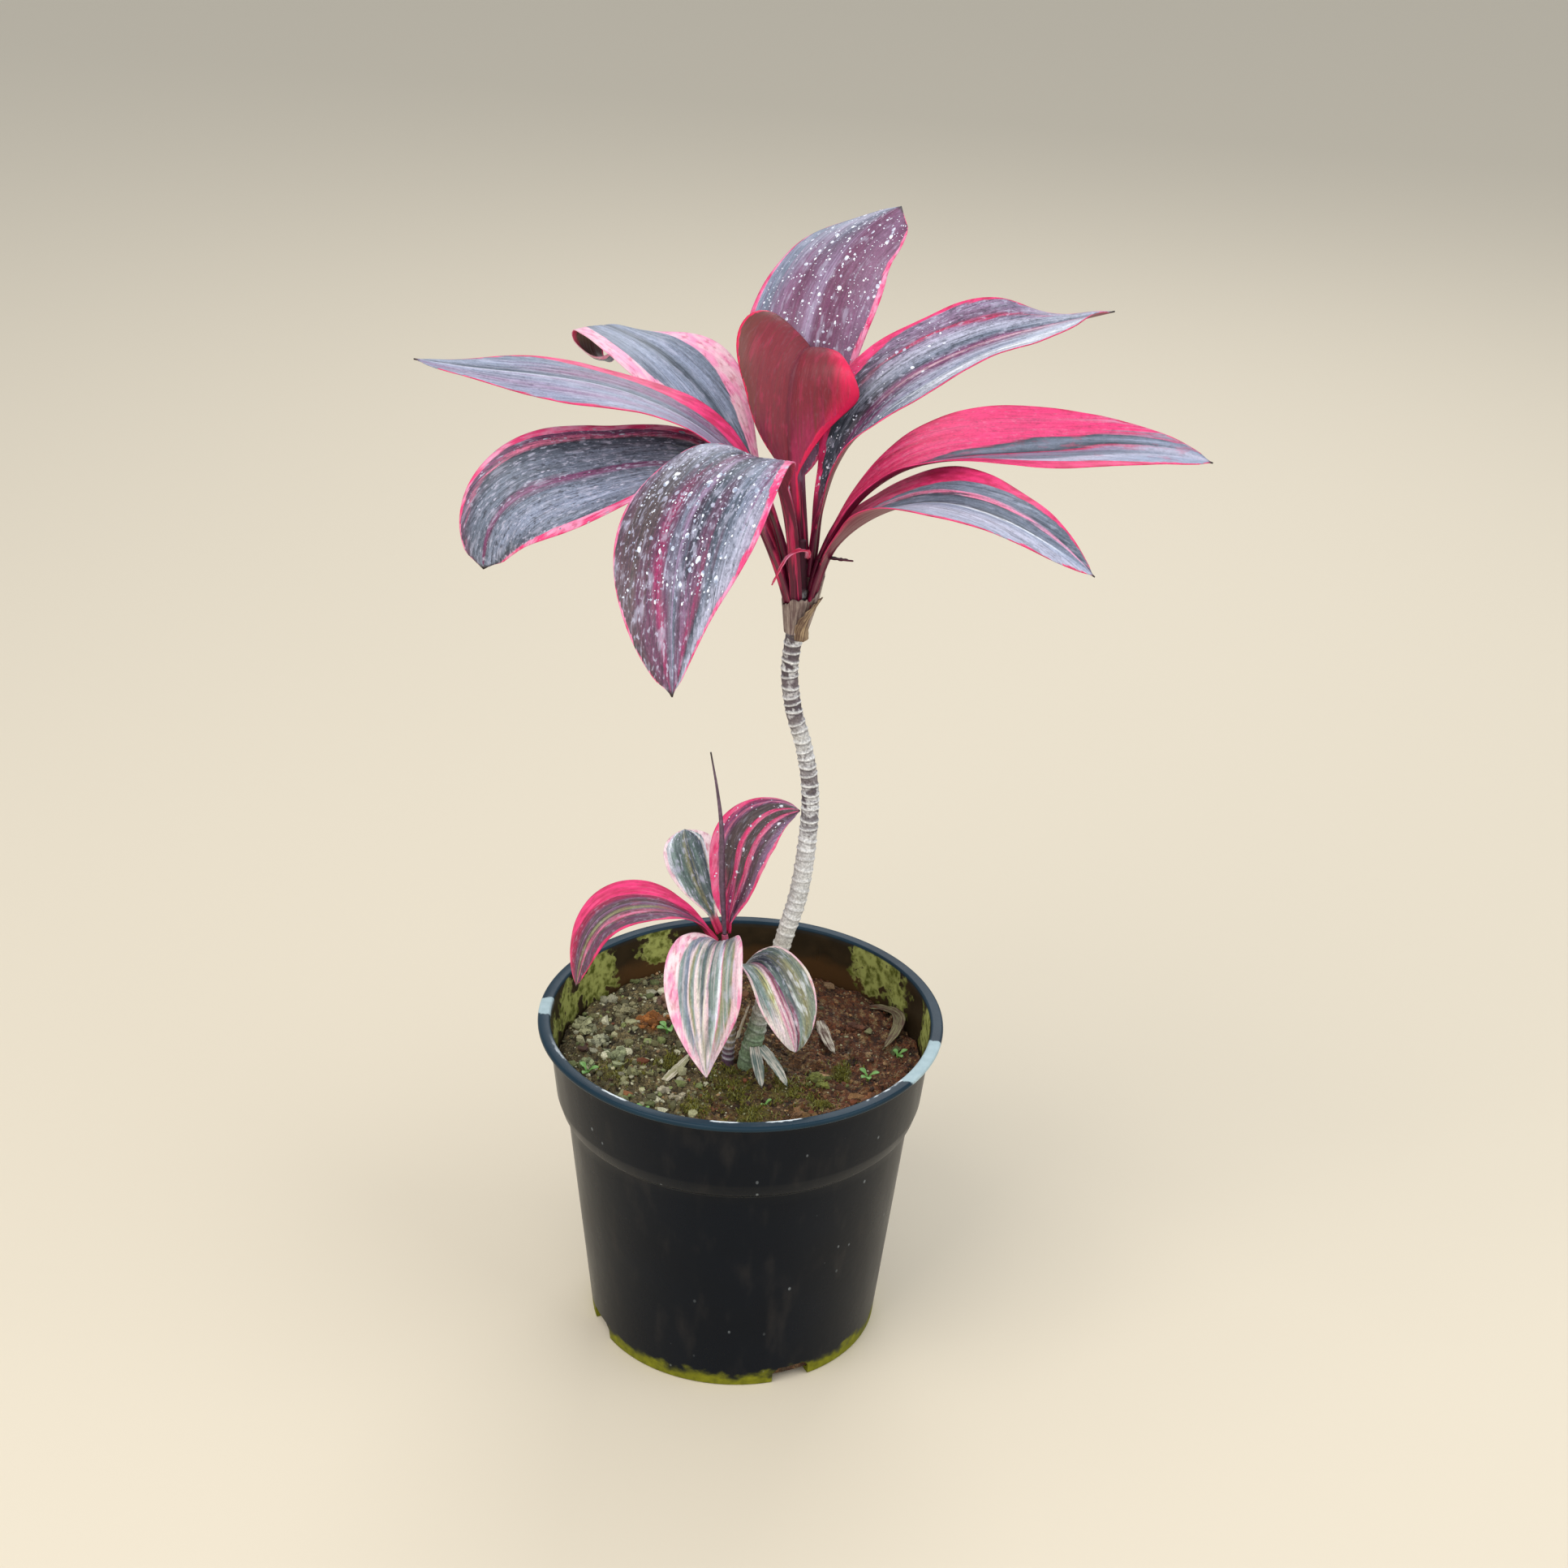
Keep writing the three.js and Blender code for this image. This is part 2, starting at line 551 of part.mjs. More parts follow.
// Dry and torn scraps: narrow blades with a torn end
const SCRAPS = {
  dry_stub: {
    base: round(-70, 5.6, 385), length: 26, width: 9, pitch: [84, 66, 60], heading: [-70, -30, -10],
    fold: [14], cup: [40, 30, 20], neck: 4, colour: 'dry', torn: 2,
  },
  torn_strip: {
    base: round(-68, 7.2, 428), length: 34, width: 2.6, pitch: [60, 10, -60, -60],
    heading: [-80, -160, -155], neck: 1.4, colour: 'red', torn: 1,
  },
  thorn_strip: {
    base: round(-28, 9, 426), length: 18, width: 2.4, pitch: [30, 4, 6], heading: [-30, -20],
    neck: 1.3, colour: 'red',
  },
  shoot_dry_strip: {
    base: [-1.2, -13.2, 170], length: 20, width: 4.4, pitch: [75, 74], heading: [-10, 0],
    neck: 2, colour: 'dry', torn: 1.5,
  },
  pale_tongue_1: {
    base: [7.4, -15.8, 166], length: 21, width: 6, pitch: [-30, -48], heading: [-78, -70],
    neck: 2.6, fold: [16], colour: 'dry', torn: 2,
  },
  pale_tongue_2: {
    base: [10.4, -14, 165], length: 24, width: 6.5, pitch: [-25, -40], heading: [-48, -44],
    neck: 2.6, fold: [16], colour: 'dry', torn: 2.4,
  },
  dry_strip_right: {
    base: [41, 36, 151.2], length: 32, width: 6, pitch: [6, -4], heading: [-84, -70],
    neck: 2, fold: [-12], colour: 'dry', torn: 2,
  },
  dry_leaf_right: {
    base: [66, 52, 150.6], length: 52, width: 7, pitch: [10, 12, -6, -8],
    heading: [-20, -60, -105, -120], neck: 1.5, fold: [20], colour: 'dry', torn: 2,
  },
  dry_twig_left: {
    base: [-37, -26, 151.4], length: 27, width: 5, pitch: [4, 2], heading: [60, 66],
    neck: 1.8, fold: [-14], colour: 'dry', torn: 1.5,
  },
};
const SCRAP_DEFAULTS = {
  rows: 6,
  across: [-1, -0.4, 0.4, 1],
  stalk: 0.02,
  ripple: [0, 0, 0],
  cup: [10],
  shape: [0.8, 0.5],
  stalkThickness: BLADE,
};

// Soil: a revolved body that follows the pot's inside, with a rough top
const SOIL_SEGMENTS = 48;
const SOIL_RINGS = 11;
const MOUND = { x: 2, y: -8, height: 3.2, spread: 500 }; // round the two stems

// Height of the soil's top above its level: a low mound and a few crossing waves
function roughness(x, y) {
  const away = (x - MOUND.x) ** 2 + (y - MOUND.y) ** 2;
  const mound = MOUND.height * Math.exp(-away / MOUND.spread);
  const waves = 0.9 * Math.sin(x * 0.21 + 1.3 * Math.sin(y * 0.13))
    + 0.8 * Math.cos(y * 0.27 + 0.9 * Math.sin(x * 0.17))
    + 0.7 * Math.sin(x * 0.55 + y * 0.42) * Math.cos(y * 0.61 - x * 0.2);
  return mound + waves;
}

function makeSoil() {
  const [mouth, ledge] = inside.slice(1);
  const lowest = SOIL_LEVEL - 2.5;
  const up = (lowest - ledge[1]) / (mouth[1] - ledge[1]);
  const edge = THREE.MathUtils.lerp(ledge[0], mouth[0], up) - 2 * GAP;
  const wallSide = inside.slice(2).map(([r, z]) => [r - GAP - FACET_GAP, z + FACET_GAP]);
  const bottom = floorTop.map(([r, z]) => [Math.max(r - 2 * FACET_GAP, 0), z + 2 * GAP]);
  const profile = [...bottom].reverse();
  profile.push(...[...wallSide].reverse());
  for (let i = 0; i <= SOIL_RINGS; i += 1) {
    profile.push([edge * (1 - i / SOIL_RINGS), SOIL_LEVEL]);
  }
  const geometry = revolve(profile, SOIL_SEGMENTS);
  const position = geometry.attributes.position;
  for (let i = 0; i < position.count; i += 1) {
    if (position.getZ(i) > lowest) {
      const x = position.getX(i);
      const y = position.getY(i);
      position.setZ(i, SOIL_LEVEL + roughness(x, y));
    }
  }
  return toSolid(geometry);
}

// Old sheath: a thin cone round the crown's base, higher at the back than at the front
const SHEATH = {
  bottom: 388, middle: 404, bottomRadius: 4.9, flare: 0.19, thickness: 0.8, rows: 4, segments: 18,
};

// The torn top edge: highest towards 40 degrees, with three shallow notches
function sheathTop(angle) {
  const tall = 6 * (1 + Math.cos(angle - rad(40)));
  return SHEATH.middle + tall + 2.5 * Math.sin(3 * angle + 1);
}

function makeSheath() {
  const wall = (offset) => Array.from({ length: SHEATH.rows + 1 }, (_, i) => [
    SHEATH.bottomRadius + offset, i / SHEATH.rows]);
  const profile = [...wall(SHEATH.thickness), ...wall(0).reverse()];
  profile.push(profile[0]);
  const geometry = revolve(profile, SHEATH.segments);
  const position = geometry.attributes.position;
  const point = new THREE.Vector3();
  for (let i = 0; i < position.count; i += 1) {
    point.fromBufferAttribute(position, i);
    const angle = Math.atan2(point.y, point.x);
    const height = SHEATH.bottom + (sheathTop(angle) - SHEATH.bottom) * point.z;
    const out = Math.hypot(point.x, point.y) + SHEATH.flare * (height - SHEATH.bottom);
    const lean = 0.1 * Math.min(height - SHEATH.middle, 0);
    position.setXYZ(
      i,
      CROWN_AXIS[0] + lean + out * Math.cos(angle),
      CROWN_AXIS[1] + out * Math.sin(angle),
      height,
    );
  }
  return toSolid(geometry);
}

// Assembly: a later piece gives way to the clearance round each earlier one that it would cross
const placed = [];

function touches(a, b) {
  const p = a.boundingBox();
  const q = b.boundingBox();
  return [0, 1, 2].every((k) => p.min[k] < q.max[k] && q.min[k] < p.max[k]);
}

function place(name, colour, solid, clearance) {
  let shaped = solid;
  for (const other of placed) {
    if (touches(shaped, other)) shaped = shaped.subtract(other);
  }
  addMesh(name, colour, toGeometry(shaped));
  placed.push(clearance);
}

function placeStem(name, colour, stem) {
  place(name, colour, toSolid(bendStem(stem)), toSolid(bendStem(stem, GAP)));
}

function placeLeaves(specs, defaults) {
  for (const [name, own] of Object.entries(specs)) {
    const spec = { ...defaults, ...own };
    place(name, spec.colour, toSolid(makeLeaf(spec)), toSolid(makeLeaf(spec, GAP)));
  }
}

placeStem('cane', 'cane', CANE);
placeStem('shoot_stem', 'cane', SHOOT);
placeStem('shoot_spear', 'redLeaf', SPEAR);
placeLeaves(CROWN_LEAVES, {});
placeLeaves(SHOOT_LEAVES, SHOOT_LEAF_DEFAULTS);
place('old_sheath', 'dry', makeSheath(), makeSheath());
placeLeaves(SCRAPS, SCRAP_DEFAULTS);
place('soil', 'soil', makeSoil(), makeSoil());
addMesh('pot', 'pot', toGeometry(makePot()));

export default part;
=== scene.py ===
"""Looks of a potted cordyline: fine leaves, ringed stems, crumbly soil with moss and a scuffed black pot.

Lengths in the tables are millimetres and angles degrees, in the model's frame. MM turns them into metres.
"""
import math

import bpy
import numpy as np
from mathutils import Matrix, Vector, noise


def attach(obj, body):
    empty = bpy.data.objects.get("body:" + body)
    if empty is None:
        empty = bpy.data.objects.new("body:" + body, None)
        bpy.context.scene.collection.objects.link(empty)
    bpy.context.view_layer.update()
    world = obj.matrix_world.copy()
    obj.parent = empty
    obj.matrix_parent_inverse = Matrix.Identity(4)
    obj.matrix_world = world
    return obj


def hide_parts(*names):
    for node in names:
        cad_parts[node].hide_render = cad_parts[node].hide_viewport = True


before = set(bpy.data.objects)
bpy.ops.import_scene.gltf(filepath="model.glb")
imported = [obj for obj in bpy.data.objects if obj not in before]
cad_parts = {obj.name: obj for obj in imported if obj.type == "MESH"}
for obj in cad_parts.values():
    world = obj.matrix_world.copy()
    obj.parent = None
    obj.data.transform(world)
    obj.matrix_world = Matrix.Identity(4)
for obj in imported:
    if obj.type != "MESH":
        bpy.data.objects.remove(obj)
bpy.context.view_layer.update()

MM = 0.001
SEED = 7

# Colours, written as they look and turned into linear light
PALETTE = dict(
    hot="#e23c74", pink="#e891b2", warm_pink="#de7494", rose="#c02c58", rose_dark="#962648",
    pale_pink="#e4b8c2", blush="#ecd2d2", cream="#dcd2c2", slate="#747c8c", slate_dark="#3e4650",
    slate_green="#5e7068", blue_grey="#949cb2", lilac="#967f9a", mist="#bab8ca", plum="#6c3e58",
    plum_light="#886480", plum_dark="#45263a", purple="#7e4068", magenta="#a03060", maroon="#701c36",
    brick="#7a2630", brick_dark="#661c2c", brick_brown="#683830", wine="#5c1630", red="#d41c4c",
    olive="#8c8860", grey_green="#869890", yellow="#ccca80", taupe="#574846", umber="#5a4034",
    ink="#2a2a34", dry_dark="#2c2220", dry="#b39a78", dry_pale="#d2c8b2", white="#eef0f4",
)


def linear(code):
    """A colour name or #rrggbb as linear red, green, blue and alpha"""
    code = PALETTE.get(code, code).lstrip("#")
    parts = [int(code[i : i + 2], 16) / 255 for i in (0, 2, 4)]
    return tuple(c / 12.92 if c <= 0.04045 else ((c + 0.055) / 1.055) ** 2.4 for c in parts) + (1.0,)


def tone(name):
    return np.array(linear(name)[:3])


class Shader:
    """One material with a Principled surface, built node by node"""

    def __init__(self, name):
        self.material = bpy.data.materials.new(name)
        self.material.use_nodes = True
        self.tree = self.material.node_tree
        self.tree.nodes.clear()
        self.surface = self.node("BsdfPrincipled")
        self.node("OutputMaterial", self.surface.outputs["BSDF"])

    def put(self, socket, value):
        """Links a socket to another one, or sets it to a plain value"""
        if isinstance(value, bpy.types.NodeSocket):
            self.tree.links.new(value, socket)
        else:
            socket.default_value = linear(value) if isinstance(value, str) else value

    def node(self, kind, *values, **settings):
        """A new node with its settings, and with values for its first sockets"""
        made = self.tree.nodes.new("ShaderNode" + kind)
        for key, value in settings.items():
            setattr(made, key, value)
        for socket, value in zip(made.inputs, values):
            self.put(socket, value)
        return made

    def finish(self, **sockets):
        for key, value in sockets.items():
            self.put(self.surface.inputs[key.replace("_", " ")], value)
        return self.material

    def math(self, operation, *values):
        return self.node("Math", *values, operation=operation).outputs[0]

    def chain(self, operation, first, *others):
        for value in others:
            first = self.math(operation, first, value)
        return first

    def add(self, *values):
        return self.chain("ADD", *values)

    def times(self, *values):
        return self.chain("MULTIPLY", *values)

    def most(self, *values):
        return self.chain("MAXIMUM", *values)

    def wide(self, value, size):
        """value from 0 to 1 as a swing of the given size round zero"""
        return self.math("MULTIPLY_ADD", value, size, -size / 2)

    def step(self, value, low, high):
        """0 at low and below, 1 at high and above, smooth between. low may be the greater of the two"""
        ends = (low, high, 0, 1) if low <= high else (high, low, 1, 0)
        return self.node("MapRange", value, *ends, interpolation_type="SMOOTHSTEP").outputs["Result"]

    def mix(self, share, first, second, way="MIX"):
        made = self.node("Mix", share, data_type="RGBA", blend_type=way)
        self.put(made.inputs[6], first)
        self.put(made.inputs[7], second)
        return made.outputs[2]

    def over(self, colour, new, value, low, high, share=1):
        """A colour with a share of a new one laid over it, from where value is low to where it is high"""
        part = self.step(value, low, high)
        return self.mix(part if share == 1 else self.times(part, share), colour, new)

    def attribute(self, name, output="Vector"):
        return self.node("Attribute", attribute_name=name).outputs[output]

    def place(self):
        """The point in the object's own metres"""
        return self.node("TexCoord").outputs["Object"]

    def split(self, vector):
        return self.node("SeparateXYZ", vector).outputs[:3]

    def texture(self, kind, vector, scale, shift):
        """A texture node over a vector that is scaled, by one number or along each axis, and shifted"""
        moved = self.node("Mapping", vector)
        moved.inputs["Scale"].default_value = scale if isinstance(scale, tuple) else (scale,) * 3
        moved.inputs["Location"].default_value = (shift, 0.37 * shift, 0.71 * shift)
        made = self.node(kind, moved.outputs["Vector"])
        made.inputs["Scale"].default_value = 1
        return made

    def noise(self, vector, scale, shift, detail):
        made = self.texture("TexNoise", vector, scale, shift)
        made.inputs["Detail"].default_value = detail
        return made.outputs["Fac"]

    def cells(self, vector, scale, shift):
        """Distance to the nearest random point, and a random number for each point"""
        made = self.texture("TexVoronoi", vector, scale, shift)
        return made.outputs["Distance"], self.split(made.outputs["Color"])[0]

    def spots(self, place, spots, ragged, soft):
        """1 near any of the spots, each an x, y, z and reach in millimetres, with a ragged and soft edge"""
        share = 0
        for x, y, z, reach in spots:
            centre = (x * MM, y * MM, z * MM)
            away = self.node("VectorMath", place, centre, operation="DISTANCE").outputs["Value"]
            spot = self.step(self.add(away, ragged), reach * MM, (reach - soft) * MM)
            share = self.most(share, spot)
        return share

    def ramp(self, value, stops):
        """Colours at places from -1 to 1"""
        made = self.node("ValToRGB", self.math("MULTIPLY_ADD", value, 0.5, 0.5))
        elements = made.color_ramp.elements
        while len(elements) < len(stops):
            elements.new(0.5)
        for element, (place, name) in zip(elements, stops):
            element.position = (place + 1) / 2
            element.color = linear(name)
        return made.outputs["Color"]

    def bump(self, height, distance, strength):
        made = self.node("Bump", strength, distance)
        self.put(made.inputs["Height"], height)
        return made.outputs["Normal"]


# Meshes
def add_object(name, data):
    made = bpy.data.objects.new(name, data)
    bpy.context.scene.collection.objects.link(made)
    return made


def add_piece(name, points, faces, materials, slot, nodes=(), smooth=True, which=None, **attributes):
    """A mesh object from points in millimetres, riding with the plant and standing for the given nodes"""
    mesh = bpy.data.meshes.new(name)
    mesh.from_pydata((np.reshape(points, (-1, 3)) * MM).tolist(), [], [list(f) for f in faces])
    for material in materials:
        mesh.materials.append(material)
    if which is not None:
        mesh.polygons.foreach_set("material_index", which)
    mesh.polygons.foreach_set("use_smooth", np.full(len(mesh.polygons), smooth))
    for key, values in attributes.items():
        values = np.reshape(values, (-1, 3)).astype(np.float32)
        if key == "tint":
            made = mesh.color_attributes.new(key, "FLOAT_COLOR", "POINT")
            made.data.foreach_set("color", np.insert(values, 3, 1, axis=1).ravel())
        else:
            made = mesh.attributes.new(key, "FLOAT_VECTOR", "POINT")
            made.data.foreach_set("vector", values.ravel())
    mesh.update()
    piece = add_object(name, mesh)
    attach(piece, "root")
    if nodes:
        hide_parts(*nodes)
    return piece


def grid_faces(rows, columns, closed=False, start=0, flip=False):
    """Quads between rows of points; closed joins the last column to the first"""
    i, j = np.meshgrid(np.arange(rows - 1), np.arange(columns if closed else columns - 1), indexing="ij")
    k = (j + 1) % columns
    quads = np.stack([i * columns + j, (i + 1) * columns + j, (i + 1) * columns + k, i * columns + k], -1)
    quads = quads.reshape(-1, 4) + start
    return quads[:, ::-1] if flip else quads


def closed_blade(top, bottom):
    """Points and faces of the thin body between two grids of points; the faces of top come first"""
    rows, wide = top.shape[:2]
    count = rows * wide
    first = np.arange(rows - 1) * wide
    last = first + wide - 1
    j = np.arange(wide - 1)
    end = (rows - 1) * wide + j
    rims = [
        (last, last + wide, last + wide + count, last + count),
        (first + wide, first, first + count, first + wide + count),
        (j, j + 1, j + 1 + count, j + count),
        (end + 1, end, end + count, end + 1 + count),
    ]
    faces = [grid_faces(rows, wide), grid_faces(rows, wide, start=count, flip=True)]
    faces += [np.stack(rim, 1) for rim in rims]
    return np.concatenate([top.reshape(-1, 3), bottom.reshape(-1, 3)]), np.concatenate(faces)


def circle(sides):
    return np.linspace(0, 2 * np.pi, sides, endpoint=False)


def around(radius, angle, height):
    """Points round the pot's axis"""
    return np.stack(np.broadcast_arrays(radius * np.cos(angle), radius * np.sin(angle), height), -1)


def waver(x, seed, cycles=1.0):
    """A smooth random wave between about -1 and 1, read at each x"""
    values = [noise.noise(Vector((cycles * value, 3.7 * seed, 0.5))) for value in np.ravel(x)]
    return np.reshape(values, np.shape(x))


def rough(points, scale, seed, octaves=3):
    """Fractal noise from about -1 to 1 at each point, in waves of 1 / scale millimetres"""
    shift = Vector((seed * 5.3, seed * 1.7, seed * 3.1))
    places = np.reshape(points, (-1, 3))
    values = [noise.fractal(Vector(p) * scale + shift, 0.9, 2.1, octaves) for p in places]
    return np.reshape(values, np.shape(points)[:-1])


def bell(x, middle, reach):
    """1 at the middle, falling away to 0 over a few times the reach"""
    return np.exp(-(((x - middle) / reach) ** 2))


def unit(vectors):
    return vectors / np.linalg.norm(vectors, axis=-1, keepdims=True)


def read_at(s, known, line):
    """A line of points, known at some places, read at others"""
    return np.stack([np.interp(s, known, line[:, k]) for k in range(3)], -1)


# The same leaf form as the model's, on a finer grid. Lists are read at even steps from the stalk to the tip
#   base     where the stalk starts
#   pitch    how steeply the leaf points up, heading, its angle from +X, roll, its turn about its own length
#   fold     how far the halves rise from the midrib, cup, how much further they bend towards the margin
#   curl     where along the leaf its end starts to roll under, and how far it rolls
#   stalk    the stalk's share of the length, neck, half of its width
#   shape    powers that move the widest place towards the tip and that make the outline more pointed
#   uneven   how much wider the left half is than the right one
#   ripple   height, number and start of the margin's waves, frill and pleat, heights of finer waves
#   torn     how ragged the end is, slide, how far the colours are shifted to the left
#   edge     where the margin's colour starts on the left half and on the right one
BLADE = 0.8
LEAF = dict(
    roll=[0], fold=[10, 8, 6], cup=[25, 8, -15], curl=[1, 0], stalk=0.15, neck=3.2, shape=[1, 0.85],
    uneven=[0], ripple=[1.5, 2.5, 0], stalk_thickness=2, torn=0, frill=0.5, pleat=0.1, columns=31,
    edge=([0.92], [0.92]), slide=[0], slot="leaf", drops=None, drop_colours=("mist", "white"),
)
MIDRIB_STEPS = 192
CURL_POWER = 1.3
LEAST_HALF_WIDTH = 0.6
POINT_START = 0.97
POINT_SHARE = 0.6
BLADE_START = 0.2
BLADE_END = 0.1
RIGHT_HALF_SHIFT = 0.3
WOBBLE = 0.012
WOBBLE_WAVES = 9
STRIP_WIDTH = 8
FRILL_WAVES = 14
PLEATS = 6
PLEAT_WIDTH = 12
STALK_FADE = (0.7, 1.9)
RIB_DEPTH = 1.1
RIB_REACH = 0.07
GROOVE_SHARE = 0.25
LARGE_LEAF = 25
TEAR_START = 0.75
TEAR_DEPTH = 1.6
ROW_LENGTH = 1.7
COLUMN_POWER = 0.92


def blend(values, s):
    """A smooth curve through evenly spaced values, read at each s from 0 to 1"""
    values = np.asarray(values, float)
    s = np.asarray(s, float)
    last = len(values) - 1
    if last == 0:
        return np.full(s.shape, values[0])
    x = np.minimum(s * last, last - 1e-9)
    i = np.floor(x).astype(int)
    f = x - i
    a, b = values[np.maximum(i - 1, 0)], values[i]
    c, d = values[i + 1], values[np.minimum(i + 2, last)]
    return b + 0.5 * f * (c - a + f * (2 * a - 5 * b + 4 * c - d + f * (3 * (b - c) + d - a)))


def smoothstep(x, low, high):
    t = np.clip((x - low) / (high - low), 0, 1)
    return t * t * (3 - 2 * t)


def midrib(leaf):
    """Points along the midrib, with the directions across and out of the face at each"""
    s = np.linspace(0, 1, MIDRIB_STEPS + 1)
    past = np.clip((s - leaf["curl"][0]) / max(1 - leaf["curl"][0], 1e-6), 0, 1)
    curl = np.radians(leaf["curl"][1] * past**CURL_POWER)[:, None]
    pitch, heading, roll = (np.radians(blend(leaf[key], s)) for key in ("pitch", "heading", "roll"))
    level = np.cos(pitch)
    ahead = np.stack([level * np.cos(heading), level * np.sin(heading), np.sin(pitch)], 1)
    flat = np.stack([-np.sin(heading), np.cos(heading), 0 * heading], 1)
    up = np.cross(ahead, flat)
    roll = roll[:, None]
    side = flat * np.cos(roll) + up * np.sin(roll)
    face = up * np.cos(roll) - flat * np.sin(roll)
    tangent = ahead * np.cos(curl) - face * np.sin(curl)
    normal = face * np.cos(curl) + ahead * np.sin(curl)
    steps = (tangent[1:] + tangent[:-1]) * (0.5 * leaf["length"] / MIDRIB_STEPS)
    points = np.asarray(leaf["base"], float) + np.concatenate([np.zeros((1, 3)), np.cumsum(steps, 0)])
    return s, points, side, normal


def half_width(leaf, s):
    b = np.clip((s - leaf["stalk"]) / (1 - leaf["stalk"]), 0, 1)
    widest, fullness = leaf["shape"]
    lens = np.abs(np.sin(np.pi * b**widest)) ** fullness
    width = np.maximum(np.hypot(leaf["neck"] * (1 - b) ** 2, leaf["width"] / 2 * lens), LEAST_HALF_WIDTH)
    return width * (1 - POINT_SHARE * smoothstep(s, POINT_START, 1))


def leaf_surface(leaf, s, v):
    """The blade's middle at each s along and v across, from -1 to 1, with its normals and half width"""
    at, *tracks = midrib(leaf)
    point, side, normal = (read_at(s, at, track)[:, None, :] for track in tracks)
    s = s[:, None]
    v = v[None, :]
    a = np.abs(v)
    sign = np.sign(v)
    seed = leaf["length"] + 0.1 * leaf["width"]
    wobble = 1 + WOBBLE * waver(WOBBLE_WAVES * s + 20 * (sign > 0), seed) * (leaf["width"] > STRIP_WIDTH)
    w = half_width(leaf, s) * (1 + sign * blend(leaf["uneven"], s)) * wobble
    fold = np.radians(blend(leaf["fold"], s))
    cup = np.radians(blend(leaf["cup"], s))
    cup = np.where(np.abs(cup) < 1e-3, 1e-3, cup)
    out = w * (np.sin(fold + cup * a) - np.sin(fold)) / cup
    height, waves, start = leaf["ripple"]
    blade = np.clip((s - leaf["stalk"]) / BLADE_START, 0, 1) * np.clip((1 - s) / BLADE_END, 0, 1)
    turn = 2 * np.pi * (waves * s + start + np.where(v < 0, RIGHT_HALF_SHIFT, 0))
    lift = w * (np.cos(fold) - np.cos(fold + cup * a)) / cup + height * blade * a * a * np.sin(turn)
    lift = lift + leaf["frill"] * blade * a**3 * waver(FRILL_WAVES * s + 30 * (sign > 0), seed + 1)
    pleats = np.cos(2 * np.pi * PLEATS * v) * np.minimum(w / PLEAT_WIDTH, 1)
    lift = lift + leaf["pleat"] * blade * (1 - a**4) * pleats
    points = point + side * (sign * out)[..., None] + normal * lift[..., None]
    outward = np.cross(np.gradient(points, axis=0), np.gradient(points, axis=1))
    return points, outward / np.maximum(np.linalg.norm(outward, axis=-1, keepdims=True), 1e-9), w


def add_leaf(name, leaf, materials):
    """One leaf as a closed blade: upper face, lower face and margin"""
    rows = int(leaf["length"] / ROW_LENGTH) + 8
    s = np.linspace(0, 1, rows)[:, None]
    half = np.linspace(0, 1, leaf["columns"]) ** COLUMN_POWER
    v = np.concatenate([-half[:0:-1], half])
    upper, normal, width = leaf_surface(leaf, s[:, 0], v)
    stalk = 1 - smoothstep(s, *(leaf["stalk"] * share for share in STALK_FADE))
    body = BLADE + (leaf["stalk_thickness"] - BLADE) * stalk
    thin = 1 - 0.5 * v**2 * (1 - stalk)
    rib = (RIB_DEPTH if leaf["width"] > LARGE_LEAF else RIB_DEPTH / 2) * (1 - s) ** 1.5
    below = rib * bell(v, 0, RIB_REACH)
    groove = GROOVE_SHARE * rib * bell(v, 0, RIB_REACH / 2)
    if leaf["torn"]:
        jag = np.array([noise.noise(Vector((5 * x, leaf["length"], 2))) for x in v])
        reach = leaf["torn"] * TEAR_DEPTH * jag * smoothstep(s, TEAR_START, 1)
        upper = upper + unit(np.gradient(upper, axis=0)) * reach[..., None]
    top = upper + normal * (BLADE / 2 * thin - groove)[..., None]
    bottom = upper + normal * (BLADE / 2 * thin - body * thin - below)[..., None]
    points, faces = closed_blade(top, bottom)
    side = (rows - 1) * (len(v) - 1)
    which = np.zeros(len(faces), np.int32)
    which[side : 2 * side] = 1
    left, right = (blend(edge, s) for edge in leaf["edge"])
    margin = (np.abs(v) - np.where(v >= 0, left, right)) * width
    place = np.stack(np.broadcast_arrays(v, s, margin), -1)
    spot = np.stack(np.broadcast_arrays(v * width, s * leaf["length"], v - blend(leaf["slide"], s)), -1)
    add_piece(name + "_look", points, faces, materials, leaf["slot"], (name,), which=which,
              leaf=np.stack([place, place]), spot=np.stack([spot, spot]))


# Leaf colours
#   bands    the colours across the leaf, from -100 at its right edge to 100 at its left, as seen from the
#            stalk. The first row is near the stalk, and 30: starts those from 30 percent of the length on.
#            Pale mist, white and blue_grey stops are partly the leaf's tone, partly painted sheen of the sky
#   margin   the margin's colours, main and in patches
#   streak   colour and share of the vein streaks, painted_sheen, of pale patches of painted sky sheen
#   fleck    the shares of light and dark flecks, dark, the share of dark veins
#   speck    size in mm, stretch and share of the pale water films, film, their colour, wet, where they end
#   mottle   how much the brightness swings
#   under    the colours across the lower face
#   rib      the midrib's colour, share and half width, stalk_colour and stalk_end, where it gives way
#   gloss    the roughness, tip_dry, where the dry tip starts
#   drops    the number of water drops, their size in mm, their stretch and where along the leaf they lie,
#            drop_colours, their darker and lighter colour, the lighter one a painted reflection of the sky
LOOK = dict(
    margin=("hot", "pink"), streak=("purple", 0.4), painted_sheen=("mist", 0.3), speck=(1.4, 1.3, 0),
    under="rose -100 maroon -85 85 rose 100", rib=("purple", 0.5, 0.02), stalk_colour="wine",
    stalk_end=0.16, gloss=0.42, dark=0.3, tip_dry=0.985, mottle=0.4, fleck=(0.2, 0.3), film="white", wet=1.3,
)
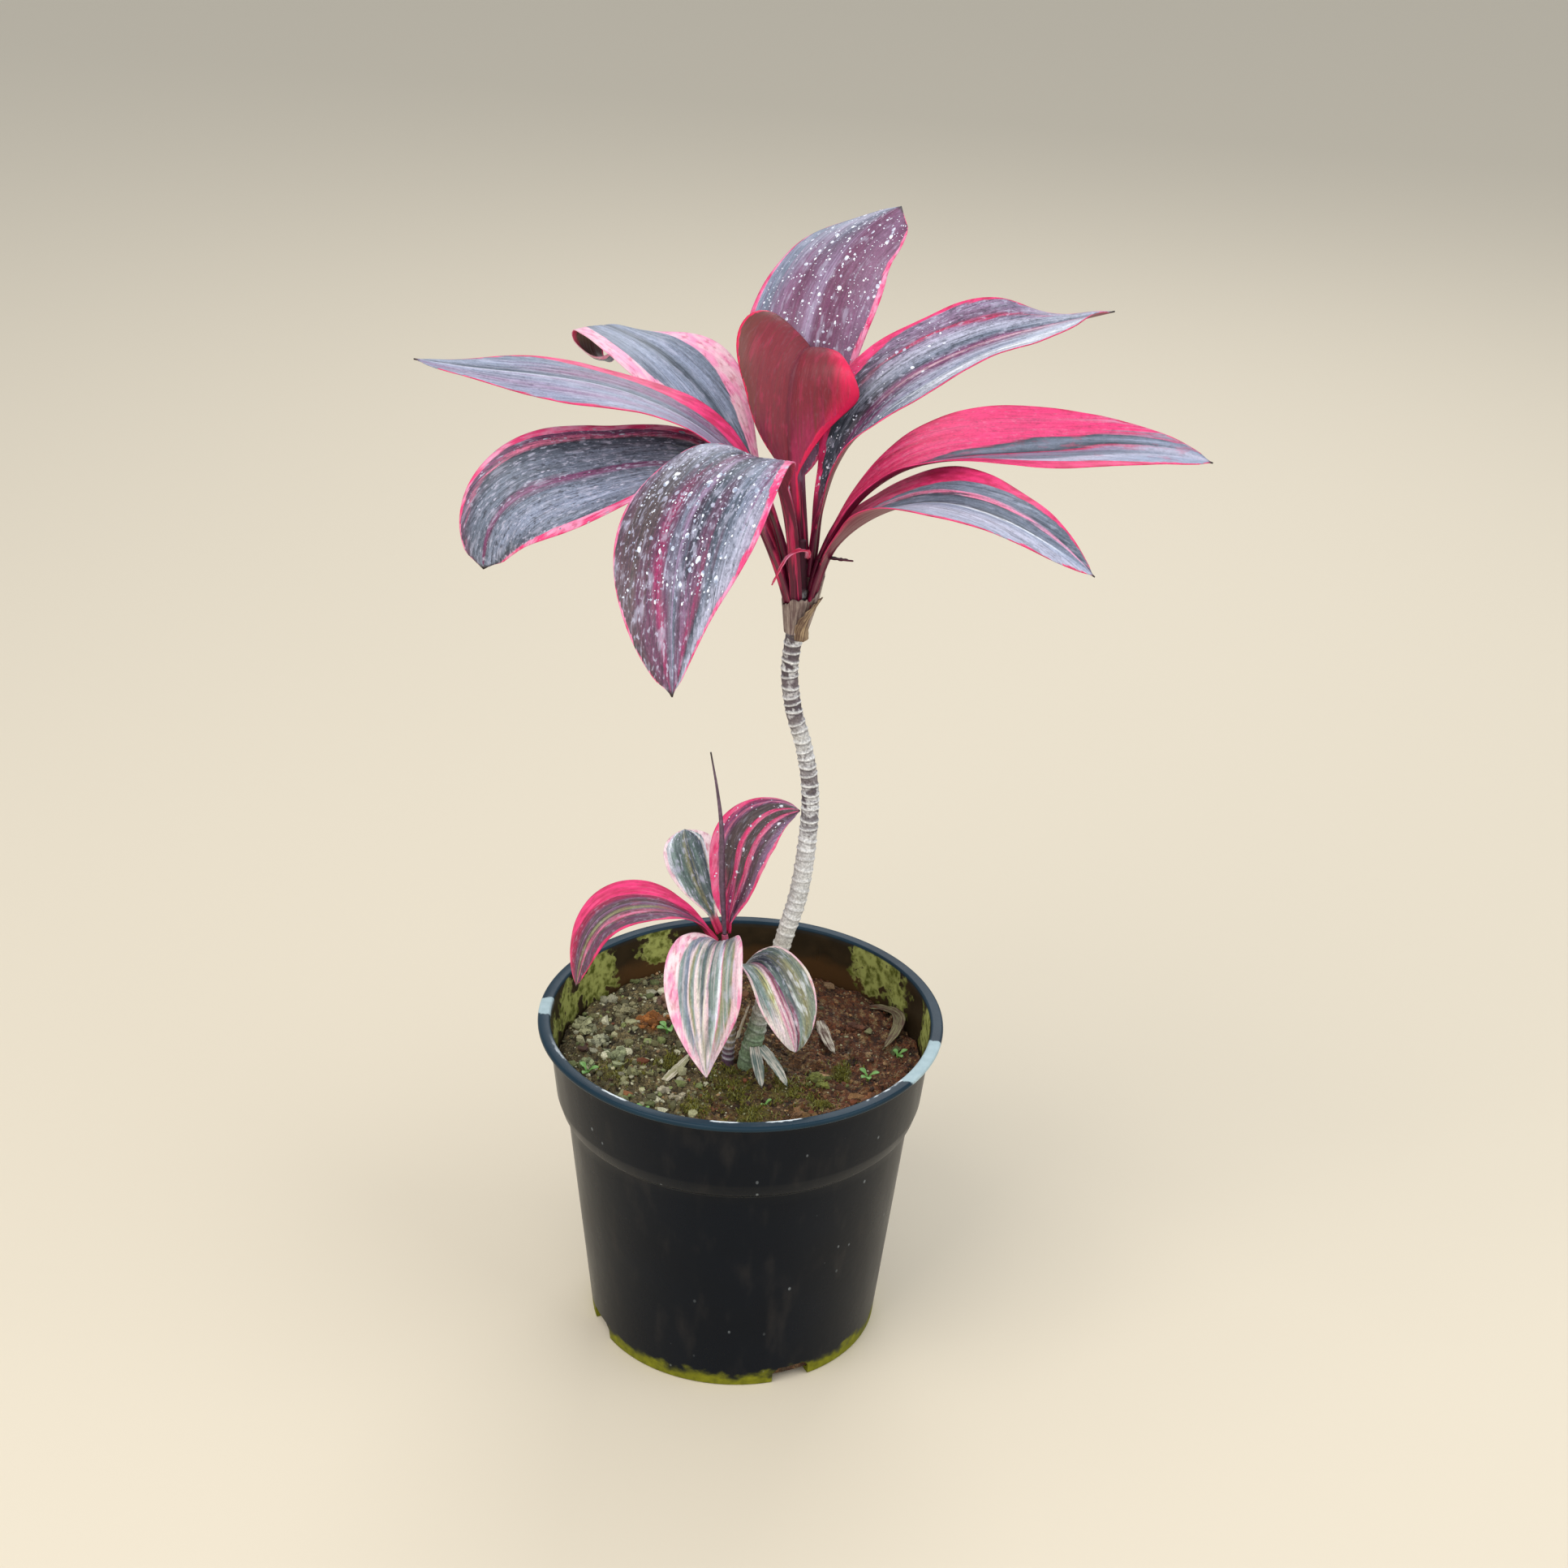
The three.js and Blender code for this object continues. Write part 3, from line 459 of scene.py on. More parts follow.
# Noise over a leaf: wander, fine, streaks, blotch, grain, mottle, flecks and veins, each with its waves in a
# millimetre across and along, a shift and its detail
LEAF_NOISE = [
    (0.3, 0.03, 0, 3), (1.5, 0.045, 3, 3), (0.75, 0.014, 6, 3), (0.3, 0.1, 9, 4), (1.6, 0.9, 12, 3),
    (0.55, 0.22, 13, 5), (0.9, 0.3, 14, 4), (2.1, 0.035, 17, 2),
]
LEAF_RELIEF = 0.4 * MM
BAND_BLEND = 0.12
FILM_BLEND = 0.08
FILM_SHARE = 0.75
TIP_BLEND = 0.012


def bands_of(text):
    """The colour stops of each band, by where it starts along the leaf, as shares of 1"""
    stops = []
    bands = {0: stops}
    for word in text.split():
        if word.endswith(":"):
            stops = bands[int(word[:-1]) / 100] = []
        elif word in PALETTE:
            name = word
        else:
            stops.append((int(word) / 100, name))
    return bands


def with_ends(sh, colour, look, s, fine, low):
    """The leaf's colour with the stalk's colour and the dry tip laid over it"""
    stalk = sh.over(look["stalk_colour"], "rose", fine, low, low + 0.16)
    colour = sh.over(colour, stalk, s, look["stalk_end"] * 1.35, look["stalk_end"] * 0.75)
    return sh.over(colour, "dry_dark", s, look["tip_dry"], look["tip_dry"] + TIP_BLEND)


def leaf_material(name, look, shift):
    sh = Shader(name)
    v, s, margin = sh.split(sh.attribute("leaf"))
    spot = sh.attribute("spot")
    wander, fine, streaks, blotch, grain, mottle, flecks, veins = (
        sh.noise(spot, (x, y, 0), shift + more, detail) for x, y, more, detail in LEAF_NOISE
    )
    across = sh.add(sh.split(spot)[2], sh.wide(wander, 0.22), sh.wide(fine, 0.1))
    along = sh.add(s, sh.wide(streaks, 0.5))
    for at, stops in bands_of(look["bands"]).items():
        band = sh.ramp(across, stops)
        colour = sh.over(colour, band, along, at - BAND_BLEND, at + BAND_BLEND) if at else band
    streak, share = look["streak"]
    colour = sh.over(colour, streak, streaks, 0.5, 0.66, share)
    colour = sh.over(colour, "ink", sh.add(fine, sh.wide(grain, 0.5)), 0.62, 0.3, look["dark"])
    colour = sh.over(colour, "ink", veins, 0.42, 0.34, 1.2 * look["dark"])
    light, deep = look["fleck"]
    colour = sh.over(colour, "ink", flecks, 0.44, 0.32, deep)
    colour = sh.over(colour, "mist", flecks, 0.56, 0.68, light)
    patches = sh.add(blotch, sh.wide(fine, 0.3))
    # Pale patches of painted sheen, standing for the sky's reflection on the glossy face
    painted_sheen, share = look["painted_sheen"]
    colour = sh.over(colour, painted_sheen, patches, 0.54, 0.7, share)
    rib, share, reach = look["rib"]
    middle = sh.math("ABSOLUTE", sh.add(v, sh.wide(wander, 0.02)))
    colour = sh.over(colour, rib, middle, 1.4 * reach, 0.5 * reach, share)
    rim, patch = look["margin"]
    rim = sh.over(sh.over(rim, patch, patches, 0.38, 0.64), "rose", mottle, 0.46, 0.34, 0.4)
    colour = sh.over(colour, rim, sh.add(margin, sh.wide(wander, 3.4), sh.wide(fine, 1.8)), -0.25, 0.3)
    level = sh.add(sh.wide(mottle, 1.3 * look["mottle"]), sh.wide(grain, look["mottle"]), 1)
    colour = sh.mix(1, colour, level, "MULTIPLY")
    height = sh.add(sh.times(fine, 0.5), sh.times(streaks, 0.4))
    size, stretch, share = look["speck"]
    films = ((1, 1), (0.45, 0.8)) if share else ()
    for k, (scale, least) in enumerate(films):
        away, chance = sh.cells(spot, (1 / (size * scale), 1 / (size * scale * stretch), 0), shift + 15 + k)
        reach = sh.times(sh.math("SUBTRACT", chance, 1 - share * least), 0.5)
        drop = sh.step(sh.math("SUBTRACT", reach, sh.add(away, sh.wide(grain, 0.25))), -0.03, 0.08)
        end = sh.add(s, sh.wide(blotch, 0.4))
        drop = sh.times(drop, sh.step(end, look["wet"] + FILM_BLEND, look["wet"] - FILM_BLEND))
        colour = sh.mix(sh.times(drop, FILM_SHARE), colour, look["film"])
        height = sh.add(height, drop)
    colour = with_ends(sh, colour, look, s, fine, 0.52)
    roughness = sh.add(sh.wide(blotch, 0.25), look["gloss"])
    return sh.finish(Base_Color=colour, Roughness=roughness, Specular_IOR_Level=0.3,
                     Normal=sh.bump(height, LEAF_RELIEF, 0.6))


def under_material(name, look, shift):
    sh = Shader(name)
    v, s, _ = sh.split(sh.attribute("leaf"))
    spot = sh.attribute("spot")
    fine = sh.noise(spot, (1.3, 0.04, 0), shift + 3, 3)
    wander = sh.noise(spot, (0.3, 0.03, 0), shift, 3)
    colour = sh.ramp(sh.add(v, sh.wide(wander, 0.15)), bands_of(look["under"])[0])
    colour = sh.over(colour, "wine", fine, 0.55, 0.35, 0.4)
    colour = sh.over(colour, "wine", sh.math("ABSOLUTE", v), 0.05, 0.015, 0.8)
    colour = with_ends(sh, colour, look, s, fine, 0.5)
    return sh.finish(Base_Color=colour, Roughness=0.42, Specular_IOR_Level=0.3,
                     Normal=sh.bump(fine, LEAF_RELIEF, 0.6))


CROWN_AXIS = (22.3, 0)


def ring_point(angle, out, height):
    turn = math.radians(angle)
    return [CROWN_AXIS[0] + out * math.cos(turn), CROWN_AXIS[1] + out * math.sin(turn), height]


LEAVES = {
    "leaf_back_up": dict(
        base=ring_point(88, 4.6, 420), length=190, width=59.4, pitch=[81, 69, 57, 41, 24],
        heading=[118, 91, 65, 22], roll=[7, 8, 10, 5], fold=[3, -11, -4], cup=[22, -3, -18],
        uneven=[-0.18, -0.09, -0.01, 0.06, 0.09, 0.06, 0.06, -0.24], shape=[1.26, 0.44], stalk=0.221,
        ripple=[1, 2.3, 0.4], frill=1.2,
        edge=([0.88, 0.88, 0.9, 0.92, 0.97, 1.0], [0.84, 0.84, 0.86, 0.9, 0.92, 0.95]),
        drops=(460, 0.62, 1.15, (0.38, 0.97)), streak=("purple", 0.35), painted_sheen=("mist", 0.35),
        speck=(1.5, 1.2, 0.45), rib=("lilac", 0.7, 0.014), stalk_end=0.2, dark=0.2, fleck=(0.12, 0.2),
        bands="""plum_light -75 plum -40 -10 lilac 4 plum 30 plum_light 55 slate 75 blue_grey 100
            82: plum -100 plum_light -50 plum 0 slate 35 mist 60 slate 100""",
    ),
    # Its browner left half and redder right half are partly its own tone, partly painted shade and painted
    # glow
    # Its dark midrib and the brick_dark stops round its middle are painted shade in the fold's crease
    "leaf_front_upright": dict(
        base=ring_point(120, 3, 424), length=108, width=60, pitch=[78, 83, 79, 70, 54],
        heading=[180, 145, 108, 73, 37], roll=[-55, -34, -12, 9, 30], fold=[43, 26, 36],
        cup=[54, -38, -27], curl=[0.765, 74], uneven=[0, -0.22, -0.08, -0.19, 0.35], shape=[2.26, 0.457],
        stalk=0.35, neck=3, ripple=[1, 2, 0], slot="red_leaf",
        edge=([0.97], [0.55, 0.6, 0.66, 0.76, 0.86, 0.88, 0.93]), margin=("red", "red"),
        streak=("brick_brown", 0.3), painted_sheen=("rose", 0.25), speck=(1.1, 1.1, 0.05),
        rib=("brick_dark", 0.9, 0.02), mottle=0.2, gloss=0.5, fleck=(0.03, 0.1), dark=0.1, stalk_end=0.2,
        bands="""rose -100 rose_dark -70 -30 brick_dark -5 4 brick 10 maroon 100
            60: red -85 brick -60 -10 brick_dark 0 brick 6 60 brick_brown 100""",
        under="wine -100 maroon -94 94 rose 100",
    ),
    # Its mist and white stops from 44 percent on are painted highlights, the sky's sheen on the glossy face
    "leaf_right_back": dict(
        base=ring_point(25, 4.4, 416), length=224, width=46, pitch=[86, 67, 26, 5, 1],
        heading=[22, 23, 37], roll=[-20, 26, -6], fold=[15, 18, 16], cup=[25, 22, -2], shape=[1.05, 0.95],
        stalk=0.08, ripple=[2.5, 3, 0.1], frill=1.2,
        edge=([0.55, 0.6, 0.78, 0.94, 0.95, 0.96], [0.96, 0.96, 0.95, 0.94, 0.95]),
        drops=(120, 0.42, 1.3, (0.16, 0.62)), margin=("rose", "hot"), streak=("slate_dark", 0.35),
        speck=(0.9, 1.2, 0.3), dark=0.4, fleck=(0.5, 0.55), painted_sheen=("mist", 0.35),
        rib=("purple", 0.5, 0.03), tip_dry=0.975,
        bands="""slate -60 purple -45 slate_dark -30 purple -10 plum_dark 2 ink 20 slate_dark 50 ink 80
            slate_dark 100
            44: mist -100 white -70 blue_grey -50 mist -30 purple -14 pale_pink -4 purple 2 slate 12 mist 35
                lilac 50 rose 56 plum_light 62 lilac 85
            85: blue_grey -100 mist -50 lilac 0 slate 10 blue_grey 50 lilac 100""",
    ),
    "leaf_left_back": dict(
        base=ring_point(145, 4.4, 416), length=198, width=51, pitch=[62, 65, 35, 5, 6],
        heading=[171, 144, 140], roll=[-38, -12, 14], fold=[5, 3, 7], cup=[48, 9, -11], curl=[0.79, 303],
        uneven=[0.1, 0.06, 0.02, 0.33, 0.19], shape=[1.13, 1.2], stalk=0.156, ripple=[3.2, 2.16, -0.23],
        edge=([0.55, 0.55, 0.6, 0.66, 0.64, 0.75], [0.2, 0.3, 0.45, 0.62, 0.88, 0.85]),
        margin=("pink", "pale_pink"), speck=(1.1, 1.6, 0.14), mottle=0.35, streak=("slate_dark", 0.3),
        rib=("slate_dark", 0.6, 0.012), fleck=(0.15, 0.25), stalk_colour="rose",
        bands="""pink -100 slate -70 slate_dark -10 slate 3 slate_dark 8 slate 40 pink 100
            35: blue_grey -100 slate -50 blue_grey -20 slate -3 slate_dark 3 slate 8 blue_grey 30 slate 60
                blue_grey 100""",
        under="hot -100 rose -86 umber -78 78 rose 86 hot 100",
    ),
    "leaf_left": dict(
        base=ring_point(187, 5, 411), length=227, width=43, pitch=[82, 56, 26, 8, 11],
        heading=[190, 189, 188], roll=[-8, -6, -16], fold=[12, 1, 1], cup=[25, 9, -16], shape=[0.92, 0.86],
        stalk=0.13, edge=([0.8, 0.85, 0.9, 0.94, 0.97, 0.98], [0.3, 0.36, 0.5, 0.72, 0.94, 0.97]),
        streak=("slate", 0.4), speck=(1.2, 1.6, 0.05), rib=("mist", 0.3, 0.012), margin=("hot", "rose"),
        dark=0.25, mottle=0.35, fleck=(0.12, 0.35),
        bands="""rose_dark -100 plum -30 plum_light -10 lilac 10 60 blue_grey 100
            35: slate -100 plum_light -30 slate -15 slate_dark -3 mist 1 lilac 6 blue_grey 30 lilac 50
                blue_grey 80 lilac 100
            75: slate -100 blue_grey -50 slate_dark -5 mist 1 blue_grey 10 lilac 50 blue_grey 100""",
    ),
    # The mist near its tip is a painted highlight; its pale blue_grey lower half is partly painted sky sheen
    "leaf_right": dict(
        base=ring_point(-8, 5.2, 410), length=219, width=44, pitch=[80, 47, 8, 4, -9],
        heading=[-14, -3, -5], roll=[0, 20, 28], fold=[15, 24, 18], cup=[25, 14, -11], shape=[1.06, 0.84],
        ripple=[1.2, 2, 0.2], edge=([0.96], [0.55, 0.5, 0.5, 0.56, 0.72, 0.94]),
        slide=[-0.75, -0.5, -0.12, 0.12, 0.38, 0.7], slot="red_leaf", margin=("hot", "rose"),
        streak=("slate", 0.12), speck=(1.0, 1.4, 0.08), dark=0.15, painted_sheen=("rose", 0.3),
        rib=("mist", 0.0, 0.02), fleck=(0.1, 0.25), mottle=0.3,
        bands="""slate -30 slate_dark -10 4 rose_dark 8 rose 30
            38: blue_grey -100 mist -70 slate -60 -45 lilac -30 rose -24 slate_dark -20 slate 0 slate_dark
                10 hot 14
            88: blue_grey -100 mist -40 blue_grey 0 slate 20 mist 60""",
    ),
    "leaf_front": dict(
        base=ring_point(252, 5.6, 405), length=250, width=59.4, pitch=[81, 61, -2, -34, -66],
        heading=[249, 243, 279], roll=[8, -2, -11], fold=[14, 3, -13], cup=[1, 1, -22],
        uneven=[0.02, 0.04, 0.07, -0.03, -0.13], shape=[1.06, 0.77], stalk=0.267, neck=2.6,
        ripple=[1.4, 2.5, 0], pleat=0.25, frill=0.8,
        edge=([0.6, 0.72, 0.82, 0.9, 0.94, 0.9], [0.97, 0.975, 0.985, 0.985, 0.98, 0.95]),
        drops=(560, 0.52, 1.9, (0.26, 0.84)), drop_colours=("blue_grey", "white"),
        streak=("slate_dark", 0.35), speck=(3.6, 1.7, 0.75), painted_sheen=("mist", 0.45), stalk_end=0.24,
        fleck=(0.6, 0.5), rib=("lilac", 0.6, 0.014), film="mist", wet=0.66,
        bands="""slate -100 mist -80 slate -50 slate_dark -30 plum -14 plum_light -4 lilac 3 slate_dark 10
            slate 35 blue_grey 60 purple 80 slate 86 blue_grey 100
            56: plum -100 taupe -80 -50 plum -36 magenta -28 plum -20 slate -8 plum_light -3 lilac 0
                plum_dark 4 slate_dark 20 plum 32 slate_dark 42 slate 60 mist 82 plum_light 100
            78: taupe -100 plum -60 -35 magenta -25 plum -15 slate 5 plum 20 plum_light 32 magenta 45
                slate_dark 60 mist 85 plum_light 100""",
    ),
    "leaf_left_front": dict(
        base=ring_point(205, 5.8, 404), length=208, width=58, pitch=[74, 56, -1, -18, -90],
        heading=[198, 191, 192], roll=[-5, -14, -58], fold=[12, 5, 5], cup=[25, 12, -13],
        shape=[1.14, 0.52], stalk=0.19, pleat=0.2,
        edge=([0.93, 0.9, 0.87, 0.84, 0.87, 0.95], [0.86, 0.84, 0.88, 0.88, 0.91, 0.96]),
        drops=(160, 0.45, 2, (0.25, 0.9)), drop_colours=("slate", "mist"), streak=("slate_dark", 0.35),
        speck=(2.2, 1.8, 0.5), painted_sheen=("mist", 0.35), dark=0.4, stalk_end=0.2, film="mist",
        fleck=(0.6, 0.65), margin=("pink", "hot"),
        bands="""rose -100 rose_dark -86 plum_dark -60 slate -40 -10 purple -6 lilac 2 slate 8 blue_grey 50
            slate 100
            28: plum_light -100 purple -84 warm_pink -76 slate_dark -70 slate -45 -14 purple -8 plum_light 0
                lilac 3 slate 9 blue_grey 50 slate 80 blue_grey 100
            86: plum -100 slate -50 -12 purple -6 plum 5 slate 12 blue_grey 50 slate_dark 80
                plum_light 100""",
    ),
    # The white stop beside its midrib is a painted highlight; its pale blue_grey lower half is partly
    # painted sky sheen
    "leaf_right_front": dict(
        base=ring_point(-33, 5.8, 403), length=192, width=47, pitch=[82, 44, 18, -6, -22],
        heading=[-22, -41, -41], roll=[24, 8, 18], fold=[15, 10, 8], cup=[25, 12, -13], shape=[0.88, 0.94],
        stalk=0.1, neck=3.6, edge=([0.3, 0.35, 0.5, 0.7, 0.84, 0.95], [0.93, 0.94, 0.95, 0.96, 0.97]),
        margin=("hot", "rose"), streak=("slate_dark", 0.3), speck=(1, 1.5, 0.05), rib=("mist", 0.0, 0.02),
        dark=0.25, fleck=(0.15, 0.3), mottle=0.35,
        bands="""pink -100 slate -50 slate_dark 100
            28: blue_grey -100 mist -50 blue_grey -20 white -13 slate_dark -8 slate 10 slate_dark 26
                warm_pink 30 pink 35 slate 38 70 slate_dark 100
            85: mist -100 blue_grey -10 slate 10 blue_grey 30 pink 38 slate_dark 44 slate 100""",
    ),
}

SHOOT = dict(stalk_thickness=1.4, neck=2.2, ripple=[0.6, 2, 0], frill=0.4, pleat=0.22, columns=25)
SHOOT_LEAVES = {
    "shoot_leaf_right_up": dict(
        base=[-7.5, -4.6, 226], length=82, width=40, pitch=[85, 77, 78, 42, -10], heading=[43, 24, 10],
        roll=[0, 18, 22], fold=[15, 8, 2], cup=[25, 8, -16], shape=[1.05, 0.75], stalk=0.05, neck=2,
        slot="red_leaf", edge=([0.6, 0.7, 0.85, 0.96], [0.86, 0.86, 0.88, 0.97]),
        drops=(90, 0.5, 1.1, (0.2, 0.9)), speck=(1.0, 1, 0.25), streak=("plum_dark", 0.3),
        painted_sheen=("lilac", 0.25), stalk_colour="rose", stalk_end=0.06, rib=("plum", 0.0, 0.02),
        margin=("warm_pink", "hot"),
        bands="""warm_pink -100 plum_dark -60 -30 warm_pink -20 hot 0 purple 12 hot 30 warm_pink 100
            26: lilac -100 plum_light -80 taupe -62 plum -44 warm_pink -40 hot -24 taupe -20 4 warm_pink 8
                hot 18 taupe 22 50 purple 60 warm_pink 66 purple 74 rose 100""",
    ),
    "shoot_leaf_back": dict(
        base=[-11.4, -4.4, 225], length=67, width=29, pitch=[58, 46, 39, 9, -6], heading=[139, 114, 95],
        roll=[-10, -24, -4], fold=[12, 16, 12], cup=[25, 22, -2], shape=[1.08, 0.88], stalk=0.12, neck=2,
        edge=([0.9, 0.86, 0.9], [0.72, 0.66, 0.76]), margin=("blush", "pale_pink"),
        streak=("slate_dark", 0.35), speck=(1.1, 1.4, 0.2), stalk_colour="rose", stalk_end=0.12,
        rib=("olive", 0.3, 0.03), painted_sheen=("mist", 0.6), mottle=0.45, fleck=(0.5, 0.4),
        bands="""rose -100 cream -60 slate_green -50 ink -10 olive 5 slate_green 40 grey_green 100
            30: plum -100 grey_green -66 white -60 cream -55 slate_dark -50 slate_green -20 slate_dark 5
                olive 12 slate_green 30 50 grey_green 70 white 78 slate_green 100""",
    ),
    "shoot_leaf_left": dict(
        base=[-12.6, -8.4, 222], length=109, width=29, pitch=[56, 31, -4, -61, -91],
        heading=[191, 199, 222], roll=[-1, -18, -5], fold=[12, 2, -2], cup=[25, 4, -20], shape=[1, 0.84],
        stalk=0.07, slot="red_leaf", edge=([0.9, 0.9, 0.88, 0.9], [0.3, 0.3, 0.42, 0.6, 0.75]),
        margin=("hot", "rose"), streak=("plum_light", 0.3), speck=(0.9, 1.2, 0.14), stalk_colour="rose",
        stalk_end=0.08, painted_sheen=("rose", 0.2), rib=("lilac", 0.4, 0.02), mottle=0.25,
        bands="""rose -100 rose_dark -30 plum 0 magenta 20 plum 50
            32: rose -100 rose_dark -35 plum -20 taupe -8 plum 2 taupe 12 olive 22 taupe 30 warm_pink 45
                taupe 52 plum 65 taupe 100""",
    ),
    "shoot_leaf_front": dict(
        base=[-8.8, -10.8, 219.5], length=96, width=40, pitch=[52, 11, -56, -71, -71],
        heading=[252, 266, 290], roll=[1, 6, -2], fold=[10, 9, 7], cup=[25, 13, -12], shape=[0.88, 0.98],
        stalk=0.05, slot="pale_leaf", edge=([0.86, 0.86, 0.9, 0.84], [0.62, 0.62, 0.7, 0.8]),
        margin=("blush", "pink"), streak=("blush", 0.3), painted_sheen=("mist", 0.4), speck=(1.0, 1.3, 0.1),
        stalk_colour="pink", stalk_end=0.05, rib=("cream", 0.2, 0.03), dark=0.15, mottle=0.35,
        fleck=(0.25, 0.3),
        bands="""pale_pink -100 slate -60 blue_grey -30 slate_dark 0 slate 30 slate_dark 60 grey_green 80
            pink 100
            24: pink -100 blush -70 grey_green -64 slate -46 blush -40 olive -34 grey_green -28 blush -22
                cream -17 slate_green -12 slate_dark -4 cream 2 pale_pink 10 slate_green 14 grey_green 30
                white 36 pink 42 olive 46 grey_green 62 olive 72 pale_pink 80 blush 100
            80: blush -100 pale_pink -50 grey_green -40 blush -30 cream -10 olive 0 slate_green 12 blush 20
                cream 30 olive 36 pale_pink 50 blush 100""",
        under="pale_pink -100 grey_green -50 blush 0 grey_green 50 pale_pink 100",
    ),
    "shoot_leaf_right_front": dict(
        base=[-4, -11.6, 200], length=79, width=33, pitch=[69, 37, -35, -57, -90], heading=[318, 310, 316],
        roll=[-5, 12, 15], fold=[10, 14, 12], cup=[25, 20, -5], shape=[1.06, 0.74], stalk=0.11,
        slot="pale_leaf", edge=([0.94], [0.92, 0.93]), margin=("pale_pink", "cream"),
        streak=("olive", 0.3), painted_sheen=("white", 0.45), speck=(1.1, 1.1, 0.2), stalk_colour="rose",
        stalk_end=0.1, rib=("magenta", 0.3, 0.03), fleck=(0.3, 0.35), mottle=0.45,
        bands="""grey_green -100 slate_green -40 purple -12 magenta 0 ink 10 slate_dark 50 slate_green 100
            40: slate_green -100 grey_green -60 olive -45 yellow -35 blush -25 pale_pink -18 magenta -10
                plum_dark -2 purple 5 slate_green 12 slate_dark 35 olive 60 slate_green 80 olive 100
            68: cream -100 blush -60 cream -45 pink -30 blush -20 magenta -8 blush 2 slate_dark 10 magenta
                20 grey_green 30 olive 60 grey_green 100""",
        under="pale_pink -100 grey_green -50 50 pale_pink 100",
    ),
}

DROP_SIDES = 8
DROP_HEIGHT = 0.32
DROP_RINGS = ((1.0, -0.6), (0.94, 0.25), (0.62, 0.8))
SMALLEST_DROP = 0.35
LARGEST_DROP = 1.9


def add_drops(name, leaf, rng):
    """Flat water drops on a leaf's upper face, few large and many small, drawn out along the leaf"""
    count, size, stretch, (first, last) = leaf["drops"]
    s = np.linspace(first, last, 150)
    v = np.linspace(-0.9, 0.9, 81)
    upper, normals, _ = leaf_surface(leaf, s, v)
    picked = rng.choice(len(s) * len(v), count, replace=False)
    skin = upper + normals * (BLADE / 2 * (1 - 0.5 * v**2))[None, :, None]
    directions = (skin, normals, unit(np.gradient(upper, axis=0)))
    centre, normal, ahead = (grid.reshape(-1, 3)[picked] for grid in directions)
    across = np.cross(normal, ahead)
    radius = size * np.minimum(SMALLEST_DROP + 0.5 * rng.pareto(2.6, count), LARGEST_DROP)[:, None]
    longer = stretch * rng.uniform(0.8, 1.3, count)[:, None]
    angle = circle(DROP_SIDES)
    bulge = 1 + 0.14 * rng.standard_normal((count, DROP_SIDES))
    rings = []
    for share, lift in DROP_RINGS:
        reach = radius * bulge * share
        rings.append(centre[:, None] + ahead[:, None] * (reach * longer * np.cos(angle))[..., None]
                     + across[:, None] * (reach * np.sin(angle))[..., None]
                     + normal[:, None] * (lift * DROP_HEIGHT * radius)[..., None])
    top = centre + normal * (DROP_HEIGHT * radius)
    points = np.concatenate([*rings, top[:, None]], 1)
    last_ring = (len(DROP_RINGS) - 1) * DROP_SIDES
    one = [*grid_faces(len(DROP_RINGS), DROP_SIDES, closed=True, flip=True)]
    one += [[last_ring + j, last_ring + (j + 1) % DROP_SIDES, len(DROP_RINGS) * DROP_SIDES]
            for j in range(DROP_SIDES)]
    one.append(list(range(DROP_SIDES))[::-1])
    faces = [[corner + k * points.shape[1] for corner in face] for k in range(count) for face in one]
    sh = Shader(name + "_drops")
    shade = sh.noise(sh.place(), 350, 3, 2)
    # The lighter drop colour is a painted reflection of the sky in the water
    dark, light = leaf["drop_colours"]
    material = sh.finish(Base_Color=sh.over(dark, light, shade, 0.35, 0.65), Roughness=0.2)
    add_piece(name + "_drops", points, faces, [material], "leaf")


def add_leaves(leaves, shared):
    rng = np.random.default_rng(SEED)
    for k, (name, own) in enumerate(leaves.items()):
        leaf = {**LEAF, **LOOK, **shared, **own}
        shift = 31 * (k + 1) + len(name)
        upper = leaf_material(name + "_upper", leaf, shift)
        lower = under_material(name + "_lower", leaf, shift)
        add_leaf(name, leaf, [upper, lower])
        if leaf["drops"]:
            add_drops(name, leaf, rng)


add_leaves(LEAVES, {})
add_leaves(SHOOT_LEAVES, SHOOT)


# Dry scraps: the same form with torn ends
def dry_material(name, pale, dark, shift, fibres=1.8):
    sh = Shader(name)
    spot = sh.attribute("spot")
    fibre = sh.noise(spot, (fibres, 0.06, 0), shift, 4)
    patch = sh.noise(spot, (0.25, 0.15, 0), shift + 5, 4)
    colour = sh.over(dark, pale, sh.add(fibre, sh.wide(patch, 0.6)), 0.35, 0.7)
    colour = sh.over(colour, "umber", patch, 0.6, 0.75, 0.5)
    return sh.finish(Base_Color=colour, Roughness=0.82, Normal=sh.bump(fibre, 0.5 * MM, 0.8))


